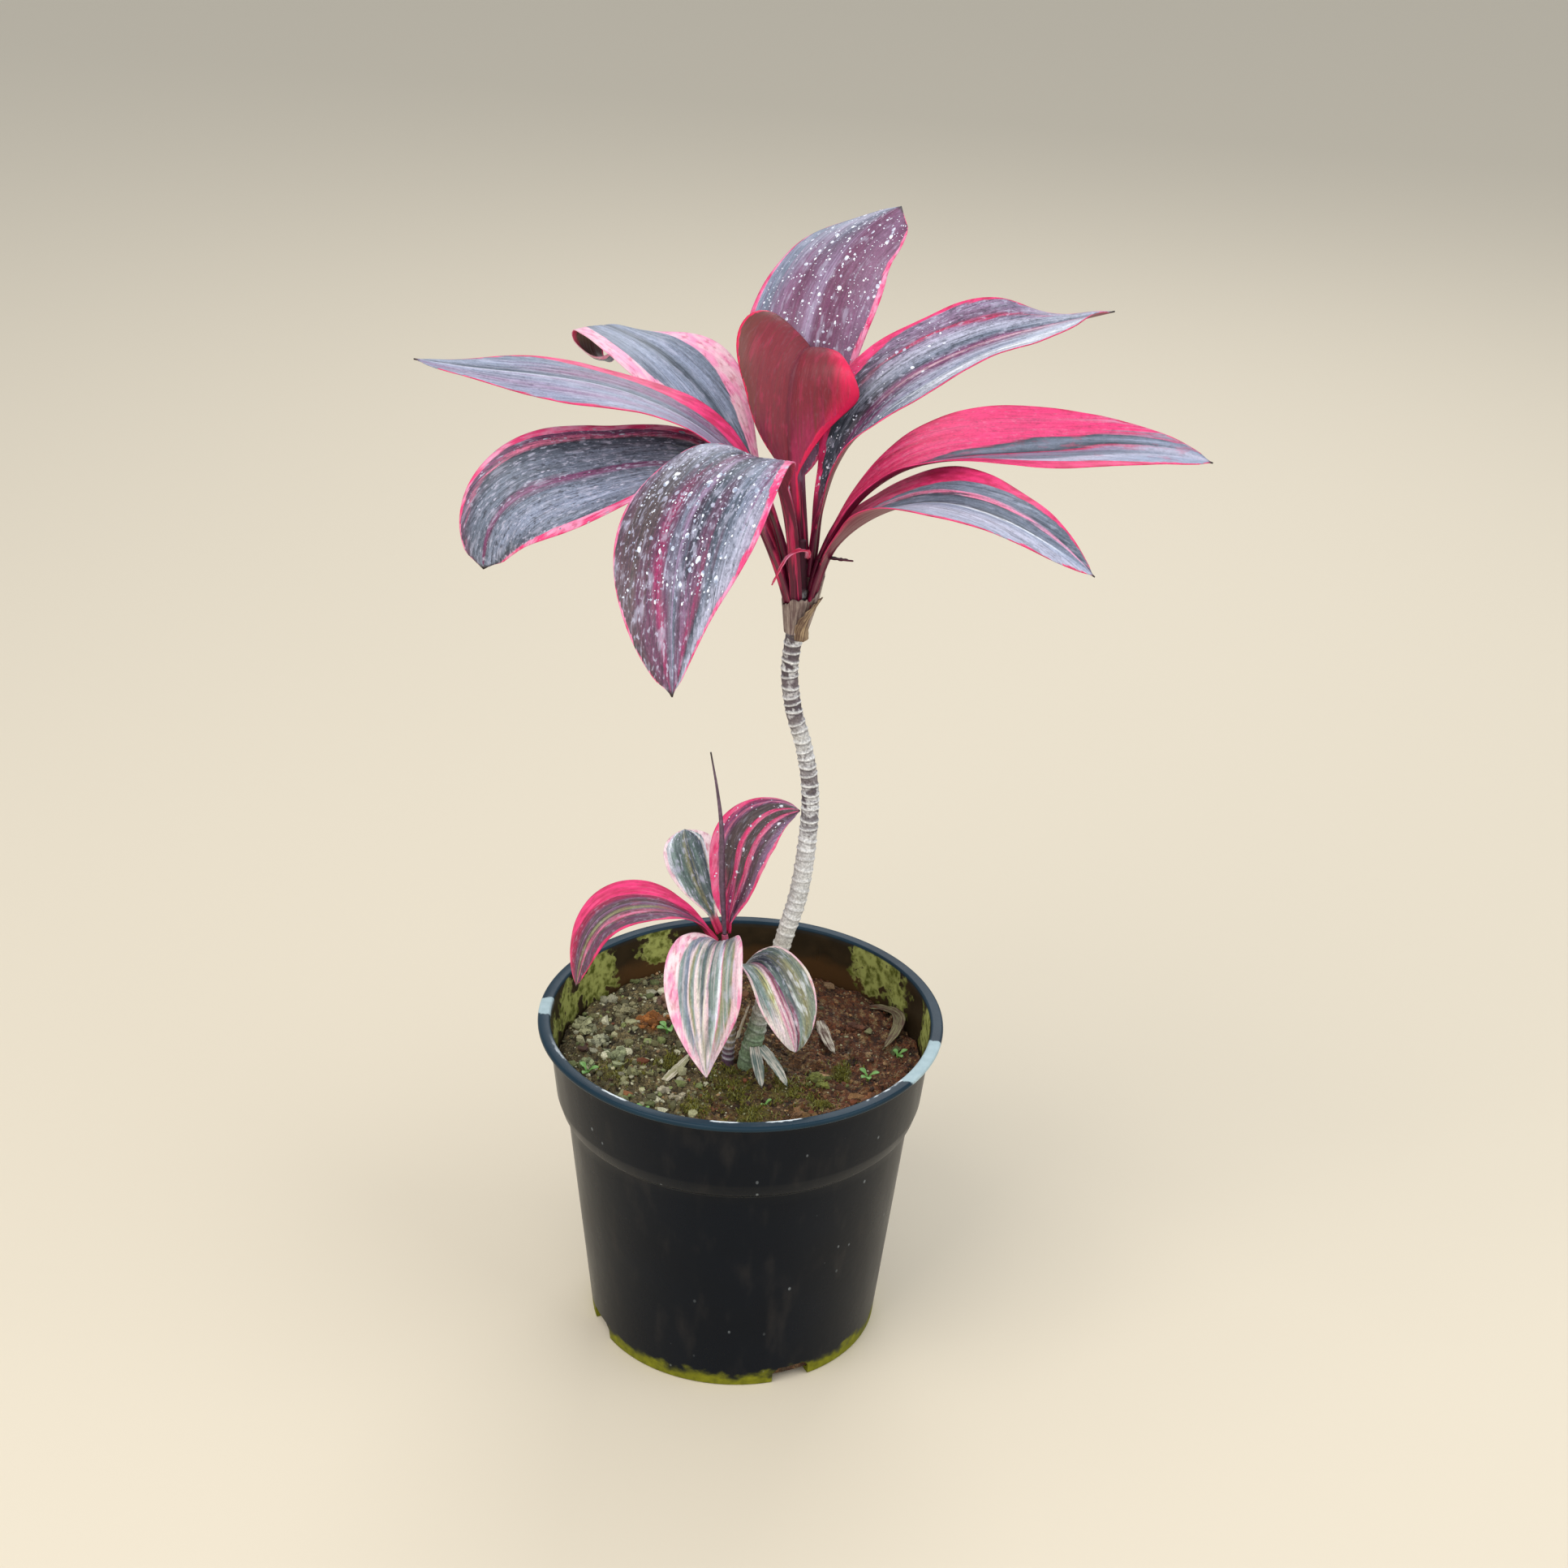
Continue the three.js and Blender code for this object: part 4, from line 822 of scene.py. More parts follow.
SCRAP = dict(
    stalk=0.02, ripple=[0, 0, 0], cup=[10], shape=[0.8, 0.5], stalk_thickness=BLADE, pleat=0.15, frill=0.8,
    neck=2, torn=2, slot="dry", columns=9,
)
SCRAPS = {
    "dry_stub": dict(
        base=ring_point(-70, 5.6, 385), length=26, width=9, pitch=[84, 66, 60], heading=[-70, -30, -10],
        fold=[14], cup=[40, 30, 20], neck=4, colours=("dry", "umber"),
    ),
    "torn_strip": dict(
        base=ring_point(-68, 7.2, 428), length=34, width=2.6, pitch=[60, 10, -60, -60],
        heading=[-80, -160, -155], neck=1.4, torn=1, slot="red", colours=("pink", "red"),
    ),
    "thorn_strip": dict(
        base=ring_point(-28, 9, 426), length=18, width=2.4, pitch=[30, 4, 6], heading=[-30, -20], neck=1.3,
        torn=0, slot="red", colours=("wine", "dry_dark"),
    ),
    "shoot_dry_strip": dict(
        base=[-1.2, -13.2, 170], length=20, width=4.4, pitch=[75, 74], heading=[-10, 0], torn=1.5,
        colours=("dry_pale", "dry"),
    ),
    "pale_tongue_1": dict(
        base=[7.4, -15.8, 166], length=21, width=6, pitch=[-30, -48], heading=[-78, -70], neck=2.6,
        fold=[16], colours=("cream", "slate_green"),
    ),
    "pale_tongue_2": dict(
        base=[10.4, -14, 165], length=24, width=6.5, pitch=[-25, -40], heading=[-48, -44], neck=2.6,
        fold=[16], torn=2.4, colours=("cream", "slate_green"),
    ),
    "dry_strip_right": dict(
        base=[41, 36, 151.2], length=32, width=6, pitch=[6, -4], heading=[-84, -70], fold=[-12],
        colours=("dry_pale", "umber"),
    ),
    "dry_leaf_right": dict(
        base=[66, 52, 150.6], length=52, width=7, pitch=[10, 12, -6, -8], heading=[-20, -60, -105, -120],
        neck=1.5, fold=[20], colours=("olive", "umber"),
    ),
    "dry_twig_left": dict(
        base=[-37, -26, 151.4], length=27, width=5, pitch=[4, 2], heading=[60, 66], neck=1.8, fold=[-14],
        torn=1.5, colours=("dry_pale", "olive"),
    ),
}
for k, (name, own) in enumerate(SCRAPS.items()):
    scrap = {**LEAF, **SCRAP, **own}
    add_leaf(name, scrap, [dry_material(name + "_dry", *scrap["colours"], 11 * k)] * 2)


# Stems: the same bent, ringed profiles, with finer scars
SCAR_SHARE = 0.72
SCAR_DRIFT = 2.4
# The height of the only scar of a stem without scars, far below it
NO_SCAR = -50


def curve_through(points, count=900):
    """A centripetal curve through points, as even steps: lengths, points and tangents"""
    points = np.asarray(points, float)
    ends = [2 * points[0] - points[1], *points, 2 * points[-1] - points[-2]]
    line = []
    for p0, p1, p2, p3 in zip(ends, ends[1:], ends[2:], ends[3:]):
        d0, d1, d2 = (math.sqrt(np.linalg.norm(b - a)) for a, b in ((p0, p1), (p1, p2), (p2, p3)))
        t1 = d1 * ((p1 - p0) / d0 - (p2 - p0) / (d0 + d1) + (p2 - p1) / d1)
        t2 = d1 * ((p2 - p1) / d1 - (p3 - p1) / (d1 + d2) + (p3 - p2) / d2)
        t = np.linspace(0, 1, 80, endpoint=False)[:, None]
        line.append(p1 + t * (t1 + t * (3 * (p2 - p1) - 2 * t1 - t2 + t * (2 * (p1 - p2) + t1 + t2))))
    line = np.concatenate([*line, points[-1:]])
    far = np.concatenate([[0], np.cumsum(np.linalg.norm(np.diff(line, axis=0), axis=1))])
    even = np.linspace(0, far[-1], count)
    place = read_at(even, far, line)
    return even, place, unit(np.gradient(place, axis=0))


def scars_of(stem, length):
    """Heights of the leaf scars along a stem"""
    heights = []
    h = stem["plain"]
    while stem["spacing"] and h < length - stem["plain_top"]:
        heights.append(h + stem["spacing"] * SCAR_SHARE)
        h += stem["spacing"] * (1 + 0.25 * math.sin(1.7 * h))
    return np.array(heights or [NO_SCAR])


def add_stem(name, stem):
    even, place, tangent = curve_through(stem["curve"])
    length = even[-1]
    sides = stem["sides"]
    h = np.linspace(0, length, int(length / stem["row"]) + 1)[:, None]
    angle = circle(sides)
    drift = SCAR_DRIFT * h / (stem["spacing"] or 1)
    waves = np.cos(angle - drift) + 0.5 * waver(3 * np.cos(angle) + 3 * np.sin(angle), 2, 1.3)
    height = h - stem["lean"] * waves
    scars = scars_of(stem, length)
    index = np.clip(np.searchsorted(scars, height) - 1, -1, len(scars) - 1)
    away = height - scars[np.argmin(np.abs(height[..., None] - scars), axis=-1)]
    ridge = stem["ridge"] * (1.5 * bell(away, 0, 0.55) - 0.5 * bell(away, 1.5, 0.9))
    radius = blend(stem["radii"], h / length)
    out = radius + ridge + 0.1 * rough(around(3, angle, 0.5 * h), 1, 4) * radius / 4
    centre, ahead = (read_at(h[:, 0], even, line)[:, None, :] for line in (place, tangent))
    side = unit(np.array([1.0, 0, 0]) - ahead * ahead[..., :1])
    front = np.cross(ahead, side)
    points = centre + side * (out * np.cos(angle))[..., None] + front * (out * np.sin(angle))[..., None]
    faces = [*grid_faces(len(h), sides, closed=True, flip=True)]
    faces += [range(sides - 1, -1, -1), range((len(h) - 1) * sides, len(h) * sides)]
    tint = stem["tints"](h / length + 0 * away, away, index, points)
    material = tinted_material(name + "_skin", *stem["skin"])
    add_piece(name + "_look", points, faces, [material], stem["slot"], (name,), tint=tint)


def layered(name, *layers):
    """A colour with others laid over it, each with its share at every point"""
    colour = tone(name)
    for over, share in layers:
        colour = colour * (1 - share[..., None]) + tone(over) * share[..., None]
    return colour


def cane_tint(part, away, index, points):
    """Pale grey with mauve patches and white ridges, tan below, green at the soil, wine at the top"""
    patch = rough(points, 0.22, 5)
    fine = rough(points, 0.9, 6)
    ring = np.sin(index * 12.9898) * 43758.5453
    ring = ring - np.floor(ring)
    upper = smoothstep(part, 0.5, 0.56)
    ringed = np.clip(bell(part, 0.59, 0.07) + smoothstep(part, 0.69, 0.73), 0, 1)
    plain = np.clip(bell(part, 0.69, 0.018) + bell(part, 0.45, 0.05), 0, 1)
    green = 1 - smoothstep(part + 0.03 * patch, 0.16, 0.24)
    return layered(
        "#dcdad8",
        ("#463642", smoothstep(0.6 * ring + 1.3 * patch, 0.06, 0.28) * ringed * 0.95),
        ("#8f8284", smoothstep(ring - 0.4 * patch, 0.5, 0.8) * upper * 0.4),
        ("#40343c", smoothstep(fine, 0.1, 0.4) * upper * 0.7),
        ("#d0cec9", plain * 0.85),
        ("#c6bfa6", (1 - smoothstep(part, 0.3, 0.44)) * 0.75),
        ("#8c8478", smoothstep(fine + patch * 0.5, 0.2, 0.6) * 0.35),
        ("#8aa07a", green),
        ("#5c7050", green * smoothstep(fine, 0, 0.6) * 0.7),
        ("#fbfaf6", bell(away, 0, 0.45) * (1 - green * 0.7) * (0.4 + 0.6 * upper)),
        # A darker band just under each ridge: painted shade below the raised ridge
        ("#3c323a", bell(away, -1, 0.4) * (0.3 + 0.35 * upper)),
        ("#4a1228", smoothstep(part, 0.915, 0.93)),
    )


def shoot_tint(part, away, index, points):
    """Purple with white rings near the soil, papery tan above and magenta towards the leaves"""
    fine = rough(points, 0.8, 9)
    return layered(
        "#6a4a60",
        ("#b0a080", smoothstep(part + 0.04 * fine, 0.32, 0.4)),
        ("magenta", smoothstep(part + 0.06 * fine, 0.5, 0.62)),
        ("#b04868", smoothstep(part, 0.75, 0.95)),
        ("#4a3040", smoothstep(fine, 0, 0.6) * 0.35),
        ("#d8d4d8", bell(away, 0, 0.55) * 0.9 * (1 - smoothstep(part, 0.5, 0.6))),
    )


def spear_tint(part, away, index, points):
    fine = rough(points, 0.5, 12)
    return layered("#5c4656", ("#8a6a80", smoothstep(fine, 0, 0.6) * 0.5),
                   ("dry_dark", smoothstep(part, 0.9, 1)))


def tinted_material(name, roughness, grain, depth):
    """The colour attribute with dark grain; depth is the grain's relief in millimetres"""
    sh = Shader(name)
    fine = sh.noise(sh.place(), grain, 2, 4)
    colour = sh.over(sh.attribute("tint", "Color"), "dry_dark", fine, 0.62, 0.4, 0.35)
    return sh.finish(Base_Color=colour, Roughness=roughness, Normal=sh.bump(fine, depth * MM, 0.7))


STEMS = {
    "cane": dict(
        curve=[[3, -10, 112], [4.4, -10, 152], [9, -9.5, 177], [15, -9, 203], [21, -8, 228], [26.5, -7, 249],
               [30, -5, 278], [30.5, -3.5, 305], [27, -2.5, 327], [21, -1.5, 348], [18.5, -0.5, 367],
               [20, 0, 386], [22, 0, 404], [22.5, 0, 434]],
        radii=[5.8, 5.6, 4.4, 4.3, 4.6, 4.3, 4, 4, 3.9, 1.6], plain=42, plain_top=34, spacing=5.2, ridge=0.3,
        lean=0.5, slot="cane", skin=(0.78, 900, 0.3), tints=cane_tint, sides=40, row=0.55,
    ),
    "shoot_stem": dict(
        curve=[[-6.8, -9, 128], [-6, -9, 152], [-5.2, -9.5, 170], [-5, -9.5, 186], [-7, -9, 206],
               [-9, -7.5, 226]],
        radii=[3, 3, 2.9, 2.7, 2.7, 1.6], plain=25, plain_top=30, spacing=4.2, ridge=0.25, lean=0.3,
        slot="cane", skin=(0.6, 900, 0.2), tints=shoot_tint, sides=28, row=0.55,
    ),
    "shoot_spear": dict(
        curve=[[-9.1, -7.4, 226], [-11, -6.4, 255], [-12, -5.6, 285], [-14.5, -5, 305], [-18, -5, 325]],
        radii=[1, 1.5, 1.3, 0.8, 0.4], plain=0, plain_top=0, spacing=0, ridge=0, lean=0, slot="red_leaf",
        skin=(0.45, 700, 0.1), tints=spear_tint, sides=16, row=1,
    ),
}
for name, stem in STEMS.items():
    add_stem(name, stem)


# Old sheath round the crown's base, thin and torn along its top
SHEATH_BOTTOM = 388
SHEATH_MIDDLE = 404
SHEATH_RADIUS = 4.9
SHEATH_FLARE = 0.19
SHEATH_WALL = (0.15, 0.8)
SHEATH_ROWS = 26
SHEATH_SIDES = 72


def add_sheath():
    angle = circle(SHEATH_SIDES)
    tall = 6 * (1 + np.cos(angle - math.radians(40)))
    torn = 1.6 * waver(4 * np.cos(angle) + 9 * np.sin(angle), 3, 1.6)
    top = SHEATH_MIDDLE + tall + 2.5 * np.sin(3 * angle + 1) + torn
    share = np.linspace(0, 1, SHEATH_ROWS)[:, None]
    height = SHEATH_BOTTOM + (top - SHEATH_BOTTOM) * share
    ripple = 0.25 * waver(6 * np.cos(angle) + 5 * np.sin(angle), 5, 2) * (0.4 + share)
    radius = SHEATH_RADIUS + ripple + SHEATH_FLARE * (height - SHEATH_BOTTOM)
    lean = 0.1 * np.minimum(height - SHEATH_MIDDLE, 0)
    axis = np.stack([CROWN_AXIS[0] + lean, CROWN_AXIS[1] + 0 * lean, 0 * lean], -1)
    inner, outer = (axis + around(radius + wall, angle, height) for wall in SHEATH_WALL)
    points = np.concatenate([outer, inner[::-1]]).reshape(-1, 3)
    faces = [*grid_faces(2 * SHEATH_ROWS, SHEATH_SIDES, closed=True, flip=True)]
    last = (2 * SHEATH_ROWS - 1) * SHEATH_SIDES
    for j in range(SHEATH_SIDES):
        after = (j + 1) % SHEATH_SIDES
        faces.append([j, after, after + last, j + last])
    tall = points[:, 2] - SHEATH_BOTTOM
    spot = np.stack([np.tile(angle * 9, 2 * SHEATH_ROWS), tall, tall], 1)
    paper = dry_material("sheath_paper", "#a8988c", "#6a5450", 3, 0.9)
    add_piece("old_sheath_look", points, faces, [paper], "dry", ("old_sheath",), spot=spot)


add_sheath()

# Soil, crumbs, moss and seedlings
SOIL_LEVEL = 150
SOIL_RADIUS = 92.4
SOIL_RINGS = 130
SOIL_SIDES = 300
# Radius and height of the soil's wall and underside, which rests on the pot's floor and its ring channel
SOIL_BELOW = [
    (SOIL_RADIUS, 146), (90.3, 135.2), (85.4, 128.3), (72.6, 3.9), (69.3, 2.5), (66, 6.1), (47.2, 6.1),
    (43, 2.5), (0.5, 2.5),
]
MOUND = (2, -8, 500)
MOUND_HEIGHT = 3.2
# Patches of moss: x, y and reach
MOSS_SPOTS = [
    (-2, -32, 16), (24, -30, 11), (-8, -20, 9), (52, -12, 8), (-34, -8, 9), (-60, -20, 12), (8, -52, 12),
    (-20, -48, 10), (40, -40, 8),
]
# Places round the cane: x, y and radius without large grains and without moss
GRAIN_FREE = (2, -10, 9)
MOSS_FREE = (4, -10, 6.4)
# The clod of orange clay: x, y and the square of its reach
CLAY = (-47, 31, 70)


def falloff(x, y, middle_x, middle_y, square):
    """1 at the middle, falling away over the root of the square"""
    return np.exp(-((x - middle_x) ** 2 + (y - middle_y) ** 2) / square)


def soil_height(x, y):
    mound = MOUND_HEIGHT * falloff(x, y, *MOUND)
    waves = (0.9 * np.sin(x * 0.21 + 1.3 * np.sin(y * 0.13))
             + 0.8 * np.cos(y * 0.27 + 0.9 * np.sin(x * 0.17))
             + 0.7 * np.sin(x * 0.55 + y * 0.42) * np.cos(y * 0.61 - x * 0.2))
    return SOIL_LEVEL + mound + waves


def ground_detail(points):
    """Crumbly relief on the soil, coarser at the left, in millimetres"""
    coarse = rough(points, 0.16, 1)
    crumbs = rough(points, 0.55, 2)
    left = smoothstep(-points[:, 0], -20, 30)
    return 1.4 * coarse + (0.8 + 0.9 * left) * crumbs


def add_soil():
    radius = np.linspace(0.4, 1, SOIL_RINGS)[:, None] ** 0.75
    radius = (radius - radius[0]) / (1 - radius[0]) * SOIL_RADIUS + 0.2
    angle = circle(SOIL_SIDES)
    flat = around(radius, angle, 0).reshape(-1, 3)
    top = soil_height(flat[:, 0], flat[:, 1]) + ground_detail(flat)
    edge = np.hypot(flat[:, 0], flat[:, 1]) / SOIL_RADIUS
    flat[:, 2] = top - 1.5 * smoothstep(edge, 0.93, 1)
    points = np.concatenate([flat, *(around(r, angle, z) for r, z in SOIL_BELOW)])
    faces = [*grid_faces(SOIL_RINGS + len(SOIL_BELOW), SOIL_SIDES, closed=True)]
    faces += [range(SOIL_SIDES), range(len(points) - 1, len(points) - 1 - SOIL_SIDES, -1)]
    sh = Shader("soil_ground")
    place = sh.place()
    grit = sh.noise(place, 1400, 4, 3)
    away, chance = sh.cells(place, 520, 1)
    lumps = sh.step(away, 0.55, 0.1)
    colour = sh.over(sh.attribute("tint", "Color"), "#241a14", grit, 0.58, 0.4, 0.6)
    colour = sh.over(colour, "#a89878", chance, 0.8, 0.9, sh.times(lumps, 0.5))
    normal = sh.bump(sh.add(lumps, grit), 1.2 * MM, 0.9)
    material = sh.finish(Base_Color=colour, Roughness=0.92, Normal=normal)
    add_piece("soil_look", points, faces, [material], "soil", ("soil",), tint=soil_tint(points))


def moss_share(x, y):
    """How mossy the soil is at a place, 0 to 1"""
    return np.max([falloff(x, y, mx, my, reach**2) for mx, my, reach in MOSS_SPOTS], axis=0)


def soil_tint(points):
    """Grey-green grit at the left, red-brown at the right, olive where moss grows, painted shade in hollows
    """
    x, y = points[:, 0], points[:, 1]
    slow = rough(points, 0.035, 21)
    fine = rough(points, 0.4, 22)
    relief = ground_detail(points * [1, 1, 0])
    clay = falloff(x, y, *CLAY)
    return layered(
        "#6c4a24",
        ("#78704a", smoothstep(-x + 14 * slow, 5, 40) * 0.75),
        ("#7a401e", smoothstep(x + 14 * slow, 20, 50) * 0.85),
        ("#b8a06c", smoothstep(fine, 0.1, 0.6) * 0.6),
        ("#24170e", smoothstep(-fine, 0.05, 0.4) * 0.5),
        ("#a06426", smoothstep(clay + 0.3 * slow, 0.3, 0.6) * 0.9),
        # Painted shade: darker where the relief dips, in the hollows between clods
        ("#1c120a", smoothstep(-relief, 0, 0.9) * 0.85),
        ("#6e6620", smoothstep(moss_share(x, y) + 0.3 * fine, 0.4, 0.8) * 0.8),
    )


# A rough ball of twenty triangles, for grains
FIFTH_TURN = 1.2566
ICO = [(0, 0, 1)]
for z, start in ((0.447, 0), (-0.447, 0.628)):
    for turn in (start + FIFTH_TURN * k for k in range(5)):
        ICO.append((0.894 * math.cos(turn), 0.894 * math.sin(turn), z))
ICO.append((0, 0, -1))
ICO_FACES = []
for k, after in enumerate((1, 2, 3, 4, 0)):
    ICO_FACES += [(0, 1 + k, 1 + after), (1 + k, 6 + k, 1 + after)]
    ICO_FACES += [(6 + k, 6 + after, 1 + after), (11, 6 + after, 6 + k)]

# Clods of grains on the soil: x, y, how far they reach and their colour
CLODS = [
    (-47, 31, 8, "#a8682c"), (-80, 22, 6, "#a0a078"), (-62, -4, 6, "#929870"), (-72, 12, 5, "#a8a888"),
    (-54, -22, 5, "#8c8c60"), (-37, -33, 3.4, "#beb498"), (-30, -41, 3, "#b0a68a"), (-78, -14, 5, "#8c9468"),
    (-40, 52, 6, "#7a5c48"), (-22, -62, 4, "#7c6848"), (30, -52, 4, "#84603c"), (58, 30, 5, "#6c4028"),
    (34, -56, 5, "#6a4c24"), (-8, -66, 5, "#74602c"), (12, 58, 6, "#6a4630"), (66, -34, 4, "#80502c"),
    (40, -22, 5, "#7c8038"), (-60, 40, 5, "#86805e"),
]
CLOD_GRAINS = 46
LOOSE_GRAINS = 3600
LARGEST_GRAIN = 3
GREYS = ["#9a9870", "#77744c", "#b0ac84", "#5a5638", "#c4c0a0", "#848e54"]
BROWNS = ["#7c4426", "#522e1a", "#8c5c36", "#a47a4e", "#40281a", "#ae8a60"]


def add_crumbs(rng):
    """Grains and pebbles, many small and few large, half sunk in the soil, and clods of them"""
    count = LOOSE_GRAINS + CLOD_GRAINS * len(CLODS)
    angle = rng.uniform(0, 2 * np.pi, LOOSE_GRAINS)
    out = (SOIL_RADIUS - 2) * np.sqrt(rng.uniform(0, 1, LOOSE_GRAINS))
    clods = np.repeat(np.array([clod[:3] for clod in CLODS]), CLOD_GRAINS, axis=0)
    offset = rng.normal(0, 0.42, (len(clods), 2))
    x = np.concatenate([out * np.cos(angle), clods[:, 0] + clods[:, 2] * offset[:, 0]])
    y = np.concatenate([out * np.sin(angle), clods[:, 1] + clods[:, 2] * offset[:, 1]])
    heap = np.concatenate([0 * out, 0.3 * clods[:, 2] * np.exp(-4 * (offset**2).sum(1))])
    left = smoothstep(-x, -10, 40)
    size = np.minimum(0.35 + 0.8 * rng.pareto(2.8, count) * (0.45 + 0.9 * left), LARGEST_GRAIN)
    size[LOOSE_GRAINS:] = rng.uniform(0.8, 2.3, len(clods)) * np.sqrt(clods[:, 2] / 5)
    near_stem = np.hypot(x - GRAIN_FREE[0], y - GRAIN_FREE[1]) < GRAIN_FREE[2]
    size[near_stem] = np.minimum(size[near_stem], 0.8)
    flat = np.stack([x, y, 0 * x], 1)
    z = soil_height(x, y) + ground_detail(flat) + 0.25 * size + heap
    warp = 1 + 0.22 * rng.standard_normal((count, len(ICO), 1))
    stretch = rng.uniform(0.65, 1.25, (count, 1, 3)) * np.array([1, 1, 0.8])
    points = np.array(ICO) * warp * stretch * size[:, None, None] + np.stack([x, y, z], 1)[:, None, :]
    faces = (np.array(ICO_FACES) + len(ICO) * np.arange(count)[:, None, None]).reshape(-1, 3)
    pick = rng.uniform(0, 1, count)
    tint = np.zeros((count, 3))
    for k in range(count):
        names = GREYS if rng.uniform() < 0.15 + 0.75 * left[k] else BROWNS
        name = names[int(pick[k] * len(names))]
        if k >= LOOSE_GRAINS:
            name = CLODS[(k - LOOSE_GRAINS) // CLOD_GRAINS][3]
        tint[k] = tone(name) * rng.uniform(0.45, 1.35)
    add_piece("soil_crumbs", points, faces, [tinted_material("crumb_grit", 0.9, 1500, 0.3)], "soil",
              smooth=False, tint=np.repeat(tint, len(ICO), axis=0))


MOSS_BLADES = 5200
MOSS_THICKNESS = 0.06
# Faces of one blade: its two sides and foot edges, the rims of its upper part, and the two ends
BLADE_FACES = [[(0, 1, 2, 4), (9, 7, 6, 5), (0, 5, 6, 1), (1, 6, 7, 2), (4, 9, 5, 0)],
               [(2, 7, 8, 3), (3, 8, 9, 4)], [(4, 2, 3), (7, 9, 8)]]


def add_moss(rng):
    """Short leafy shoots in tufts, each a few pointed blades"""
    blades = []
    tints = []
    for _ in range(MOSS_BLADES):
        mx, my, reach = MOSS_SPOTS[rng.integers(len(MOSS_SPOTS))]
        x = mx + rng.normal(0, 0.55 * reach)
        y = my + rng.normal(0, 0.55 * reach)
        by_cane = math.hypot(x - MOSS_FREE[0], y - MOSS_FREE[1]) < MOSS_FREE[2]
        if by_cane or math.hypot(x, y) > SOIL_RADIUS - 3:
            continue
        clump = noise.noise(Vector((x * 0.16, y * 0.16, 4)))
        if clump < -0.02:
            continue
        foot = np.array([x, y, soil_height(x, y) + 0.1 + 1.2 * clump])
        tall = rng.uniform(0.9, 2.3)
        lean = rng.normal(0, 0.45, 2)
        side = rng.uniform(0, math.pi)
        across = np.array([math.cos(side), math.sin(side), 0]) * rng.uniform(0.25, 0.5)
        rise = np.array([*lean, 1]) * tall
        shoulder = foot + rise * 0.6
        blades.append([foot - across, foot + across, shoulder + across * 0.7, foot + rise,
                       shoulder - across * 0.7])
        tint = tone("#7e7a22") * rng.uniform(0.4, 1.3)
        tints.append(tint if rng.uniform() < 0.8 else tone("#9a9a5a"))
    points = np.array(blades)
    normal = unit(np.cross(points[:, 1] - points[:, 0], points[:, 3] - points[:, 0]))
    thin = MOSS_THICKNESS * normal[:, None]
    both = np.concatenate([points + thin, points - thin], 1)
    start = 10 * np.arange(len(points))[:, None, None]
    faces = [face for block in BLADE_FACES for blade in np.array(block) + start for face in blade]
    add_piece("moss", both, faces, [tinted_material("moss_leaf", 0.75, 1200, 0.1)], "soil", smooth=False,
              tint=np.repeat(np.array(tints), 10, axis=0))


# Seedlings: x, y, height and number of leaves
SEEDLINGS = [
    (-38, 21, 8, 4), (-76, -23, 7, 3), (65, -20, 7, 4), (81, 7, 6, 3), (14, -44, 4, 2), (-46, -52, 4, 3),
]
SEEDLING = dict(
    pitch=[84, 60, 20, -5], stalk=0.5, neck=0.3, shape=[1, 0.6], ripple=[0, 0, 0], frill=0, pleat=0,
    cup=[10], fold=[8],
)


def add_seedlings(rng):
    """Weed seedlings: a few oval leaves on thin stalks"""
    for k, (x, y, tall, count) in enumerate(SEEDLINGS):
        foot = soil_height(x, y) - 0.5
        sh = Shader(f"seedling_{k + 1}_green")
        shade = sh.noise(sh.place(), 500, k, 2)
        material = sh.finish(Base_Color=sh.mix(shade, "#427c34", "#88b45a"), Roughness=0.5)
        points = np.zeros((0, 3))
        faces = []
        for j in range(count):
            heading = math.degrees(2 * math.pi * j / count + rng.uniform(0, 1))
            leaf = {**LEAF, **SEEDLING, "base": [x, y, foot], "length": tall * rng.uniform(1, 1.4),
                    "width": 0.42 * tall, "heading": [heading]}
            top, normal, _ = leaf_surface(leaf, np.linspace(0, 1, 18), np.linspace(-1, 1, 9))
            leaf_points, leaf_faces = closed_blade(top, top - normal * 0.25)
            faces += [*(leaf_faces + len(points))]
            points = np.concatenate([points, leaf_points])
        add_piece(f"seedling_{k + 1}", points, faces, [material], "leaf")


random_places = np.random.default_rng(SEED)
add_soil()
add_crumbs(random_places)
add_moss(random_places)
add_seedlings(random_places)

# Pot
RIM_RADIUS = 102.5
POT_HEIGHT = 175
FOOT_RADIUS = 74.5
WALL = 1.7
DISC_RADIUS = 44
CHANNEL_RISE = 4
CHANNEL_INNER = 48
CHANNEL_OUTER = 66
FOOT_RING_INNER = 69
STEP_HEIGHT = 127
COLLAR_FOOT = 91
COLLAR_BOTTOM = 93.2
COLLAR_TOP = 97.2
COLLAR_ROUND = 8
WALL_TOP_RADIUS = 87.9
FLANGE_BOTTOM = POT_HEIGHT - 3
EDGE = 0.8
MOUTH_RADIUS = 96.2
DRAIN_COUNT = 4
DRAIN_WIDTH = 20
DRAIN_HEIGHT = 9
DRAIN_CORNER = 3
DRAIN_FIRST_ANGLE = -65
DRAIN_INNER = CHANNEL_OUTER - 4
POT_SIDES = 240
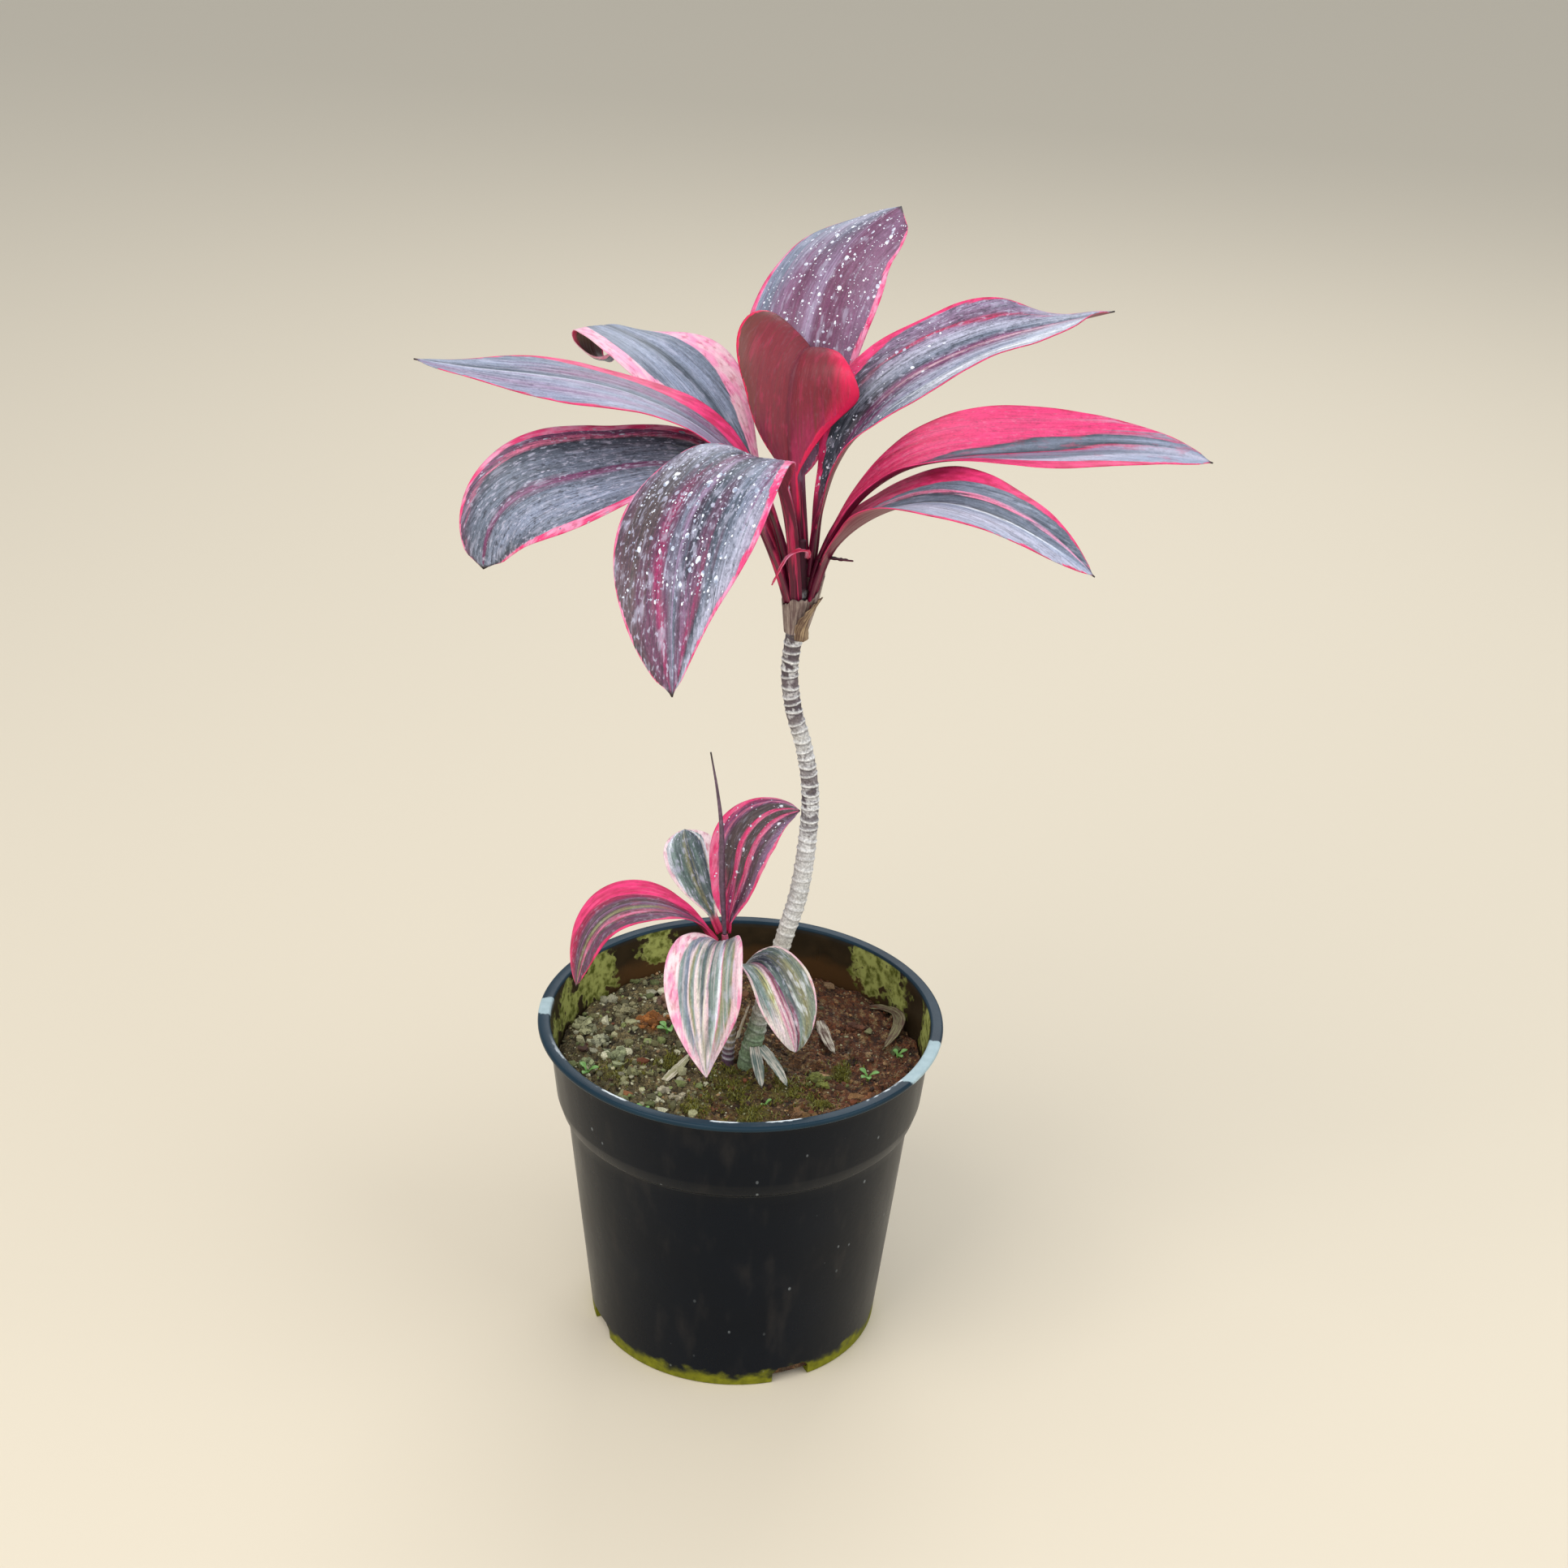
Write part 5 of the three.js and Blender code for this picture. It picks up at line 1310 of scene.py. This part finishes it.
# Radius and height round the pot's section, from the middle of its underside to the middle of its floor
POT_PROFILE = [
    (0, 0), (DISC_RADIUS, 0), (CHANNEL_INNER, CHANNEL_RISE), (CHANNEL_OUTER, CHANNEL_RISE),
    (FOOT_RING_INNER, 0), (FOOT_RADIUS, 0), (WALL_TOP_RADIUS, STEP_HEIGHT - WALL),
    (COLLAR_FOOT, STEP_HEIGHT + 1), (COLLAR_BOTTOM, STEP_HEIGHT + COLLAR_ROUND), (COLLAR_TOP, FLANGE_BOTTOM),
    (RIM_RADIUS - EDGE, FLANGE_BOTTOM), (RIM_RADIUS, FLANGE_BOTTOM + EDGE), (RIM_RADIUS, POT_HEIGHT - EDGE),
    (RIM_RADIUS - EDGE, POT_HEIGHT), (MOUTH_RADIUS + EDGE, POT_HEIGHT), (MOUTH_RADIUS, POT_HEIGHT - EDGE),
    (COLLAR_BOTTOM - WALL, STEP_HEIGHT + COLLAR_ROUND), (WALL_TOP_RADIUS - WALL, STEP_HEIGHT + 1),
    (FOOT_RADIUS - WALL + 0.3, 2 * WALL), (FOOT_RING_INNER + 0.6, WALL),
    (CHANNEL_OUTER + 0.4, CHANNEL_RISE + WALL), (CHANNEL_INNER - 0.6, CHANNEL_RISE + WALL),
    (DISC_RADIUS - 0.6, WALL), (0, WALL),
]


def rounded(profile, reach=0.7, steps=3):
    """The profile with each corner off the axis rounded over a short reach"""
    points = [np.array(p, float) for p in profile]
    line = [points[0]]
    for before, here, after in zip(points, points[1:], points[2:]):
        back, ahead = before - here, after - here
        cut = min(reach, 0.4 * np.linalg.norm(back), 0.4 * np.linalg.norm(ahead))
        start, end = here + unit(back) * cut, here + unit(ahead) * cut
        for t in np.linspace(0, 1, steps):
            line.append((1 - t) ** 2 * start + 2 * t * (1 - t) * here + t * t * end)
    return line + [points[-1]]


def spread(line, longest):
    """The line with its long stretches cut into shorter ones"""
    out = [line[0]]
    for a, b in zip(line, line[1:]):
        count = max(1, math.ceil(np.linalg.norm(b - a) / longest))
        out += [a + (b - a) * k / count for k in range(1, count + 1)]
    return np.array(out)


def drain_cutter(material):
    """Bars with clipped upper corners, through the foot of the wall at each drain opening"""
    half, shoulder = DRAIN_WIDTH / 2, DRAIN_HEIGHT - DRAIN_CORNER
    arch = [(-half, -2), (half, -2), (half, shoulder), (half - DRAIN_CORNER, DRAIN_HEIGHT),
            (DRAIN_CORNER - half, DRAIN_HEIGHT), (-half, shoulder)]
    corners = []
    sides = []
    for k in range(DRAIN_COUNT):
        turn = math.radians(DRAIN_FIRST_ANGLE + 360 * k / DRAIN_COUNT)
        out = np.array([math.cos(turn), math.sin(turn), 0])
        across = np.array([-math.sin(turn), math.cos(turn), 0])
        start = len(corners)
        for reach in (DRAIN_INNER, RIM_RADIUS):
            corners += [out * reach + across * a + np.array([0, 0, z]) for a, z in arch]
        sides += [[start + j for j in range(5, -1, -1)], [start + 6 + j for j in range(6)]]
        sides += [[start + j, start + (j + 1) % 6, start + 6 + (j + 1) % 6, start + 6 + j] for j in range(6)]
    mesh = bpy.data.meshes.new("drains")
    mesh.from_pydata((np.array(corners) * MM).tolist(), [], sides)
    mesh.materials.append(material)
    return add_object("drains", mesh)


def add_pot(material):
    line = spread(rounded(POT_PROFILE), 6)[1:-1]
    walls = around(line[:, :1], circle(POT_SIDES), line[:, 1:])
    points = np.concatenate([walls.reshape(-1, 3), [[0, 0, 0], [0, 0, WALL]]])
    faces = [*grid_faces(len(line), POT_SIDES, closed=True, flip=True)]
    under, floor = len(points) - 2, len(points) - 1
    last = (len(line) - 1) * POT_SIDES
    faces += [[under, (j + 1) % POT_SIDES, j] for j in range(POT_SIDES)]
    faces += [[floor, last + j, last + (j + 1) % POT_SIDES] for j in range(POT_SIDES)]
    pot = add_piece("pot_look", points, faces, [material], "pot", ("pot",))
    cutter = drain_cutter(material)
    cut = pot.modifiers.new("drains", "BOOLEAN")
    cut.operation = "DIFFERENCE"
    cut.solver = "EXACT"
    cut.object = cutter
    depsgraph = bpy.context.evaluated_depsgraph_get()
    done = bpy.data.meshes.new_from_object(pot.evaluated_get(depsgraph))
    pot.modifiers.remove(cut)
    pot.data = done
    bpy.data.objects.remove(cutter)
    done.polygons.foreach_set("use_smooth", np.full(len(done.polygons), True))
    done.set_sharp_from_angle(angle=math.radians(38))


# Worn places on the rim, and algae on the inside of the wall: x, y, z and reach of each patch
SCUFFS = [
    (-98.5, 3, POT_HEIGHT, 9), (96.5, -26, POT_HEIGHT, 9), (91.5, -38, POT_HEIGHT, 12),
    (84, -49, POT_HEIGHT, 8),
]
ALGAE_SPOTS = [
    (67.6, 65.3, 166, 17), (80, 48, 162, 12), (93.7, 7.4, 166, 15), (91, -18, 160, 10), (-77, 54, 162, 17),
    (-88, 28, 160, 14), (-46, 82, 166, 12), (-93, 2, 158, 9),
]
# Where colours of the pot set in and end, in metres: heights and, where named so, radii or depths
RIM_SHEEN_BAND = (0.1715, 0.1725)
SCUFF_BAND = (0.1712, 0.1722)
LIP_TOP = (0.1735, 0.1745)
LIP_RADIUS = (0.0985, 0.0978)
LIP_DEPTH = (-0.02, -0.06)
INNER_FOOT = (0.14, 0.144)
INNER_TOP = (0.1742, 0.1732)
INNER_RADIUS = (0.0771, 0.0768)
INNER_SLOPE = 0.114
RUST_TOP = (0.163, 0.156)
RUST_DEPTH = (0.05, 0.075)
FOOT_ALGAE = (0.0095, 0.003)


def pot_material():
    """Black plastic with a blue tint: scuffed rim with painted sheen and glints, dusty wall, algae on the
    foot and inside
    """
    sh = Shader("pot_plastic")
    place = sh.place()
    x, y, z = sh.split(place)
    radius = sh.math("SQRT", sh.add(sh.times(x, x), sh.times(y, y)))
    slow = sh.noise(place, 22, 1, 4)
    fine = sh.noise(place, 260, 5, 4)
    dust = sh.noise(place, (90, 90, 30), 9, 5)
    glint_streaks = sh.noise(place, (60, 60, 500), 13, 5)
    algae = sh.noise(place, (90, 90, 120), 17, 5)
    away, chance = sh.cells(place, (170, 170, 120), 2)
    colour = sh.over(sh.mix(slow, "#03070e", "#08101a"), "#5a5148", dust, 0.5, 0.8, 0.12)
    colour = sh.over(colour, "#9fa6a8", chance, 0.93, 0.97, sh.times(sh.step(away, 0.16, 0.08), 0.35))
    # The rim lighter and bluer than the wall: painted sheen of the sky on the rim's glossy top
    colour = sh.over(colour, sh.mix(slow, "#0e1c26", "#223c4a"), z, *RIM_SHEEN_BAND, 0.95)
    # Painted glints: white streaks along the inner edge of the lip's top, at its front
    glint_edge = sh.step(sh.add(radius, sh.wide(fine, 0.002)), *LIP_RADIUS)
    lip_glints = sh.times(glint_edge, sh.step(y, *LIP_DEPTH), sh.step(z, *LIP_TOP), 0.9)
    colour = sh.over(colour, "#dfe6e8", glint_streaks, 0.5, 0.58, lip_glints)
    scuffs = sh.times(sh.spots(place, SCUFFS, sh.wide(fine, 0.006), 1.5), sh.step(z, *SCUFF_BAND))
    colour = sh.mix(scuffs, colour, sh.mix(fine, "#93a8ac", "#b4c6c8"))
    upright = sh.math("SUBTRACT", radius, sh.times(z, INNER_SLOPE))
    inner = sh.times(sh.step(upright, *INNER_RADIUS), sh.step(z, *INNER_FOOT), sh.step(z, *INNER_TOP))
    colour = sh.mix(sh.times(inner, 0.8), colour, sh.mix(algae, "#14130c", "#4a3a24"))
    rusty = sh.times(inner, sh.step(y, *RUST_DEPTH), 0.8)
    colour = sh.over(colour, "#543a20", sh.add(z, sh.wide(algae, 0.012)), *RUST_TOP, rusty)
    ragged = sh.add(sh.wide(algae, 0.03), sh.wide(fine, 0.022))
    grown = sh.times(sh.spots(place, ALGAE_SPOTS, ragged, 4), inner)
    colour = sh.mix(sh.times(grown, 0.92), colour, sh.over("#54581c", "#a8ac5e", fine, 0.3, 0.6))
    foot = sh.step(sh.add(z, sh.wide(algae, 0.02)), *FOOT_ALGAE)
    colour = sh.mix(sh.times(foot, 0.9), colour, sh.mix(fine, "#4a4c10", "#9a9a20"))
    roughness = sh.add(sh.wide(dust, 0.22), 0.3, sh.times(sh.most(grown, foot, scuffs), 0.4))
    height = sh.add(sh.times(fine, 0.5), sh.times(scuffs, 0.6))
    return sh.finish(Base_Color=colour, Roughness=roughness, Specular_IOR_Level=0.13,
                     Normal=sh.bump(height, 0.2 * MM, 0.5))


add_pot(pot_material())

# Floor, light and camera, in metres apart from the camera's
FLOOR_HALF = 6
FLOOR_DROP = 0.0002
# Position, height of the point looked at, size, power and colour of each light
LIGHTS = {
    "key": ((-0.9, -1.0, 1.9), 0.35, 1.4, 26, (1.0, 0.98, 0.95)),
    "fill": ((1.4, -0.6, 1.3), 0.35, 1.6, 13, (0.92, 0.96, 1.0)),
    "back": ((0.3, 1.6, 1.5), 0.4, 1.2, 12, (0.95, 0.97, 1.0)),
    "front": ((0.1, -2.0, 0.9), 0.35, 1.6, 10, (1.0, 0.98, 0.97)),
}
SKY = (0.86, 0.92, 1.0, 1)
SKY_STRENGTH = 0.69
CAMERA = dict(position=(17.7, -1231.1, 926.8), target=(17.7, 0, 306.8), roll=2.01, lens=65.22, sensor=36)


def add_floor():
    mesh = bpy.data.meshes.new("floor")
    corners = [(x * FLOOR_HALF, y * FLOOR_HALF, 0) for x, y in ((-1, -1), (1, -1), (1, 1), (-1, 1))]
    mesh.from_pydata(corners, [], [(0, 1, 2, 3)])
    mesh.materials.append(Shader("floor_plain").finish(Base_Color="#d8cbb4", Roughness=0.9))
    floor = add_object("floor", mesh)
    floor.location.z = -FLOOR_DROP


def add_light(name, position, target_height, size, power, colour):
    data = bpy.data.lights.new(name, "AREA")
    data.size = size
    data.energy = power
    data.color = colour
    lamp = add_object(name, data)
    lamp.location = position
    towards = Vector((0, 0, target_height)) - Vector(position)
    lamp.rotation_euler = towards.to_track_quat("-Z", "Y").to_euler()


def add_camera():
    data = bpy.data.cameras.new("camera")
    data.lens = CAMERA["lens"]
    data.sensor_width = CAMERA["sensor"]
    data.clip_end = 50
    camera = add_object("camera", data)
    position, target = Vector(CAMERA["position"]) * MM, Vector(CAMERA["target"]) * MM
    turn = (target - position).to_track_quat("-Z", "Y").to_matrix().to_4x4()
    roll = Matrix.Rotation(math.radians(CAMERA["roll"]), 4, "Z")
    camera.matrix_world = Matrix.Translation(position) @ turn @ roll
    bpy.context.scene.camera = camera


add_floor()
for name, settings in LIGHTS.items():
    add_light(name, *settings)
add_camera()
world = bpy.data.worlds.new("world")
world.use_nodes = True
sky = world.node_tree.nodes["Background"]
sky.inputs["Color"].default_value = SKY
sky.inputs["Strength"].default_value = SKY_STRENGTH
bpy.context.scene.world = world
bpy.context.scene.view_settings.view_transform = "Standard"
